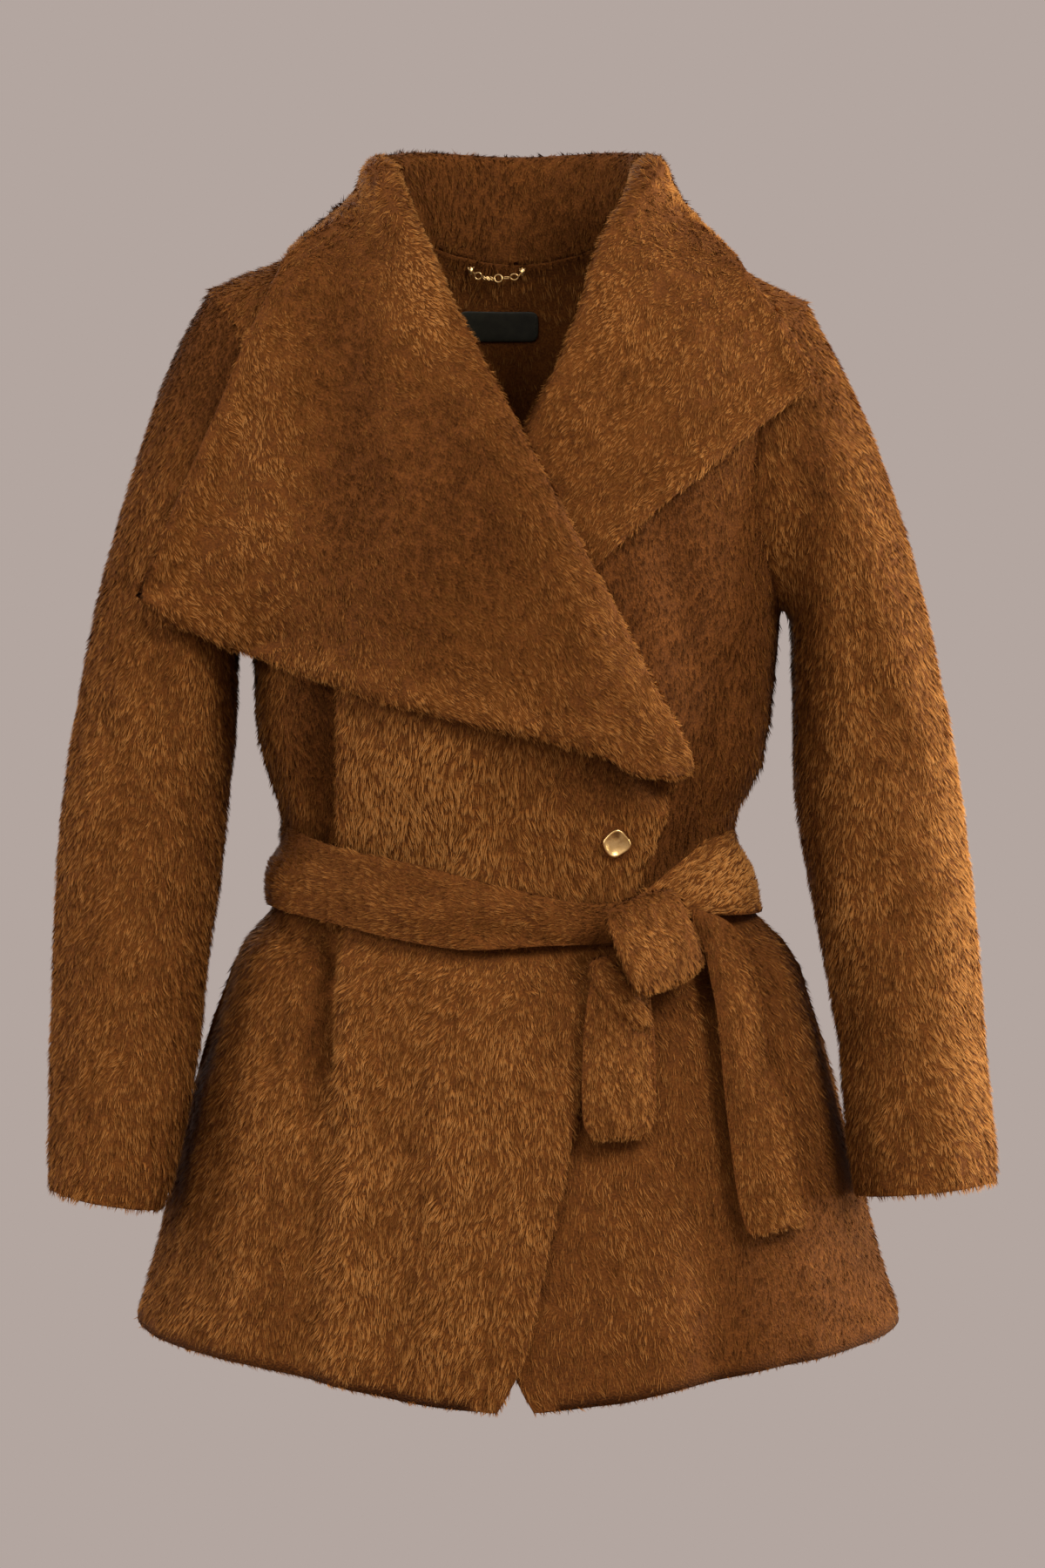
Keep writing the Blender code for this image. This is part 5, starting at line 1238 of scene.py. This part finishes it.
def satin_finish():
    finish = Finish("label_satin_weave")
    where = finish.place()
    threads = [finish.node("ShaderNodeTexWave", {"bands_direction": direction},
                           {"Vector": where, "Scale": SATIN_SCALE, "Distortion": 0.4},
                           output="Fac") for direction in ("X", "Z")]
    weave = threads[0] * 0.5 + threads[1] * 0.5
    wear = finish.noise(where, 180.0, 3.0)
    colour = finish.ramp(wear, ((0.30, (0.0130, 0.0125, 0.0080)),
                                (0.75, (0.0250, 0.0235, 0.0150))))
    return finish.surface(Base_Color=colour, Roughness=0.42, Specular_IOR_Level=0.35,
                          Normal=finish.bump(weave, 0.00003))


def rod(start, end, radius):
    """A short round rod as a bmesh."""
    run = Vector(end) - Vector(start)
    turn = run.to_track_quat("Z", "Y").to_matrix().to_4x4()
    made = bmesh.new()
    bmesh.ops.create_cone(made, cap_ends=True, segments=8, radius1=radius, radius2=radius,
                          depth=run.length,
                          matrix=Matrix.Translation((Vector(start) + Vector(end)) / 2) @ turn)
    return made


def join_all(name, parts, material):
    """Several bmeshes as one piece."""
    whole = bmesh.new()
    for part in parts:
        mesh = bpy.data.meshes.new("part")
        part.to_mesh(mesh)
        part.free()
        whole.from_mesh(mesh)
        bpy.data.meshes.remove(mesh)
    mesh = bpy.data.meshes.new(name)
    whole.to_mesh(mesh)
    whole.free()
    return add_piece(name, mesh, material)


SATIN = satin_finish()
label = add_piece("neck_label_satin", label_mesh, SATIN)
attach(label, "coat")
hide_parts("neck_label")

label_tree = search_tree([label_mesh])
stitch_rods = []
for end in (-1, 1):
    x = LABEL_BOX[0][0] + end * (LABEL_BOX[1][0] - STITCH_INSET)
    for i in range(STITCHES):
        z = LABEL_BOX[0][2] + LABEL_BOX[1][2] * STITCH_SPAN * (2 * i / (STITCHES - 1) - 1)
        ends = []
        for dz in (-STITCH_HALF, STITCH_HALF):
            hit = label_tree.ray_cast(Vector((x, -0.02, z + dz)), Vector((0, 1, 0)))[0]
            if hit is not None:
                ends.append(hit + STITCH_OUT)
        if len(ends) == 2:
            stitch_rods.append(rod(*ends, STITCH_RADIUS))
label_stitches = join_all("neck_label_stitches", stitch_rods, SATIN)
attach(label_stitches, "coat")
print("label with", len(label_stitches.data.polygons), "stitch faces")

# %% [markdown]
# ## Gold metal
# The button and the chain are cast or bent in brass and plated in pale gold. A polished cast
# face is never quite even, so a low noise varies its roughness and dents it very slightly.

# %% Gold finish


def gold_finish():
    finish = Finish("plated_gold")
    where = finish.place()
    cast = finish.noise(where, 260.0, 2.0)
    fine = finish.noise(where, 2600.0, 2.0)
    colour = finish.ramp(cast, ((0.25, (0.72, 0.45, 0.17)), (0.75, (0.88, 0.60, 0.27))))
    return finish.surface(Base_Color=colour, Metallic=1.0, Roughness=fine * 0.10 + 0.24,
                          Normal=finish.bump(cast, 0.0003, 0.5))


GOLD = gold_finish()
print("gold ready")

# %% [markdown]
# ## The button
# One cast button: an irregular rounded square with a raised rim round a dished face. Half of
# its profile is spun into a round, then the rim is pulled out at four soft corners, no two
# alike, and the rim's height is made uneven.

# %% Button
BUTTON_RADIUS = 0.0090
# share of the radius, height above the button's back in metres
BUTTON_PROFILE = ((0.00, 0.0000), (0.50, 0.0000), (0.84, 0.0003), (0.96, 0.0010),
                  (1.00, 0.0020), (1.00, 0.0029), (0.97, 0.0037), (0.93, 0.0041),
                  (0.88, 0.0041), (0.80, 0.0037), (0.66, 0.0031), (0.50, 0.0025),
                  (0.30, 0.0020), (0.12, 0.0018), (0.00, 0.0018))
BUTTON_STEPS = 56


def spun_button():
    made = bmesh.new()
    last = None
    for share, height in BUTTON_PROFILE:
        vert = made.verts.new((share * BUTTON_RADIUS, 0, height))
        if last:
            made.edges.new((last, vert))
        last = vert
    bmesh.ops.spin(made, geom=list(made.verts) + list(made.edges), cent=(0, 0, 0),
                   axis=(0, 0, 1), steps=BUTTON_STEPS, angle=2 * math.pi, use_merge=True)
    bmesh.ops.remove_doubles(made, verts=made.verts, dist=MERGE)
    bmesh.ops.recalc_face_normals(made, faces=made.faces)
    for vert in made.verts:
        turn = math.atan2(vert.co.y, vert.co.x)
        share = math.hypot(vert.co.x, vert.co.y) / BUTTON_RADIUS
        corner = 0.060 * math.cos(4 * (turn - 1.44)) + 0.040 * math.cos(3 * turn + 0.6)
        wave = 0.10 * math.sin(2 * turn + 0.6) + 0.05 * math.sin(3 * turn)
        grown = 1 + corner * share
        vert.co.x *= grown
        vert.co.y *= grown
        vert.co.z *= 1 + wave * share
    return made


solid_points = points_of(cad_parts["button"].data)
button_middle = solid_points.mean(axis=0)
button_axes = np.linalg.svd(solid_points - button_middle, full_matrices=False)[2]
button_out = Vector(button_axes[2])
if button_out.y > 0:
    button_out.negate()
button_side = Vector((0, 0, 1)).cross(button_out).normalized()
button_up = button_out.cross(button_side)
depths = (solid_points - button_middle) @ np.array(button_out)
button_frame = Matrix((button_side, button_up, button_out)).transposed().to_4x4()
button_frame.translation = Vector(button_middle) + button_out * float(depths.min())
button_shape = spun_button()
bmesh.ops.transform(button_shape, matrix=button_frame, verts=button_shape.verts)
button = join_all("button_cast", [button_shape], GOLD)
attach(button, "coat")
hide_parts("button")
print("the button faces", [round(value, 3) for value in button_out])

# %% [markdown]
# ## The hanger chain
# Seven links hang on a line between two small plates on the neck seam. A ring of wire is a
# circle spun round the ring's own middle. Neighbouring links are turned on edge against each
# other, as in any chain, and a small jump ring joins them to each plate. They all swing
# together, so they ride on the chain's own body, while the plates and the wire loops that
# hold them stay on the coat.

# %% Chain
CHAIN_START = (-0.0307, 0.07142, -0.0275)
CHAIN_SLOPE = 0.20954 / 0.97780          # depth for each metre along x
# link: middle x and level, half length, half height, wire, tilt seen from the front, turn on
# edge
CHAIN_LINKS = {
    "chain_ring_a": (-0.0257, -0.0310, 0.0028, 0.0028, 0.00052, 0, 8),
    "chain_small_a": (-0.0216, -0.0323, 0.0020, 0.0011, 0.00042, 50, 30),
    "chain_small_b": (-0.0190, -0.0327, 0.0020, 0.0011, 0.00042, 56, -30),
    "chain_small_c": (-0.0164, -0.0327, 0.0020, 0.0011, 0.00042, 50, 30),
    "chain_ring_b": (-0.0119, -0.0324, 0.0032, 0.0032, 0.00056, 0, -8),
    "chain_bar": (-0.0063, -0.0319, 0.0025, 0.0012, 0.00048, 0, 40),
    "chain_oval": (-0.0010, -0.0312, 0.0032, 0.0026, 0.00056, 0, 6),
}
JUMP_RINGS = ((-0.0285, -0.0292, 40), (0.0026, -0.0300, -40))      # x, level, tilt
JUMP_SIZE = (0.0013, 0.0011, 0.0003)     # half length, half height, wire
JUMP_TURN = 70
THREADS = ((-24, -0.0009), (0, 0.0), (24, 0.0009))       # over a plate: tilt, shift in x
THREAD_SIZE = (0.0006, 0.0029, 0.00022)
RING_STEPS = 30
WIRE_SIDES = 8


def wire_ring(middle, half_x, half_z, wire, tilt, edge_turn):
    """A closed oval of round wire that faces the front, then is turned and placed."""
    made = bmesh.new()
    radius = half_x - wire
    bmesh.ops.create_circle(made, cap_ends=False, segments=WIRE_SIDES, radius=wire,
                            matrix=Matrix.Translation((radius, 0, 0)))
    bmesh.ops.spin(made, geom=list(made.verts) + list(made.edges), cent=(0, 0, 0),
                   axis=(0, 1, 0), steps=RING_STEPS, angle=2 * math.pi, use_merge=True)
    bmesh.ops.remove_doubles(made, verts=made.verts, dist=MERGE / 10)
    squeeze = (half_z - wire) / radius
    for vert in made.verts:
        out = Vector((vert.co.x, 0, vert.co.z)).normalized()
        core = out * radius
        vert.co += Vector((0, 0, core.z * (squeeze - 1)))
    bmesh.ops.recalc_face_normals(made, faces=made.faces)
    placed = (Matrix.Translation(middle) @ Matrix.Rotation(math.radians(tilt), 4, "Y")
              @ Matrix.Rotation(math.radians(edge_turn), 4, "X"))
    bmesh.ops.transform(made, matrix=placed, verts=made.verts)
    return made


def chain_depth(x):
    return CHAIN_START[1] + CHAIN_SLOPE * (x - CHAIN_START[0])


for node, (x, z, half_x, half_z, wire, tilt, turn) in CHAIN_LINKS.items():
    shape = wire_ring((x, chain_depth(x), z), half_x, half_z, wire, tilt, turn)
    link = join_all(node + "_wire", [shape], GOLD)
    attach(link, "hanger_chain")
    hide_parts(node)
jump_shapes = [wire_ring((x, chain_depth(x), z), *JUMP_SIZE, tilt, JUMP_TURN)
               for x, z, tilt in JUMP_RINGS]
jumps = join_all("chain_jump_rings", jump_shapes, GOLD)
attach(jumps, "hanger_chain")

for node in ("chain_stud_right", "chain_stud_left"):
    middle, _ = middle_and_half(node)
    shapes = [merged_copy(node)]
    for tilt, shift in THREADS:
        shapes.append(wire_ring((middle[0] + shift, middle[1] - 0.0001, middle[2]),
                                *THREAD_SIZE, tilt, 0))
    stud = join_all(node + "_sewn", shapes, GOLD)
    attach(stud, "coat")
    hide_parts(node)
print(len(CHAIN_LINKS), "links and", len(JUMP_RINGS), "jump rings")

# %% [markdown]
# ## The floor
# A taupe disc far below closes the scene without touching the coat.

# %% Floor
FLOOR_LEVEL = -1.42
FLOOR_RADIUS = 1.5
floor_shape = bmesh.new()
bmesh.ops.create_circle(floor_shape, cap_ends=True, segments=96, radius=FLOOR_RADIUS,
                        matrix=Matrix.Translation((0, 0, FLOOR_LEVEL)))
floor_mesh = bpy.data.meshes.new("floor")
floor_shape.to_mesh(floor_mesh)
floor_shape.free()
floor_finish = Finish("pale_floor")
floor_grain = floor_finish.noise(floor_finish.place(), 40.0)
floor = add_piece("floor", floor_mesh, floor_finish.surface(
    Base_Color=floor_finish.ramp(floor_grain, ((0.3, (0.200, 0.172, 0.158)),
                                               (0.7, (0.225, 0.195, 0.180)))),
    Roughness=0.8))
print("floor at", FLOOR_LEVEL)
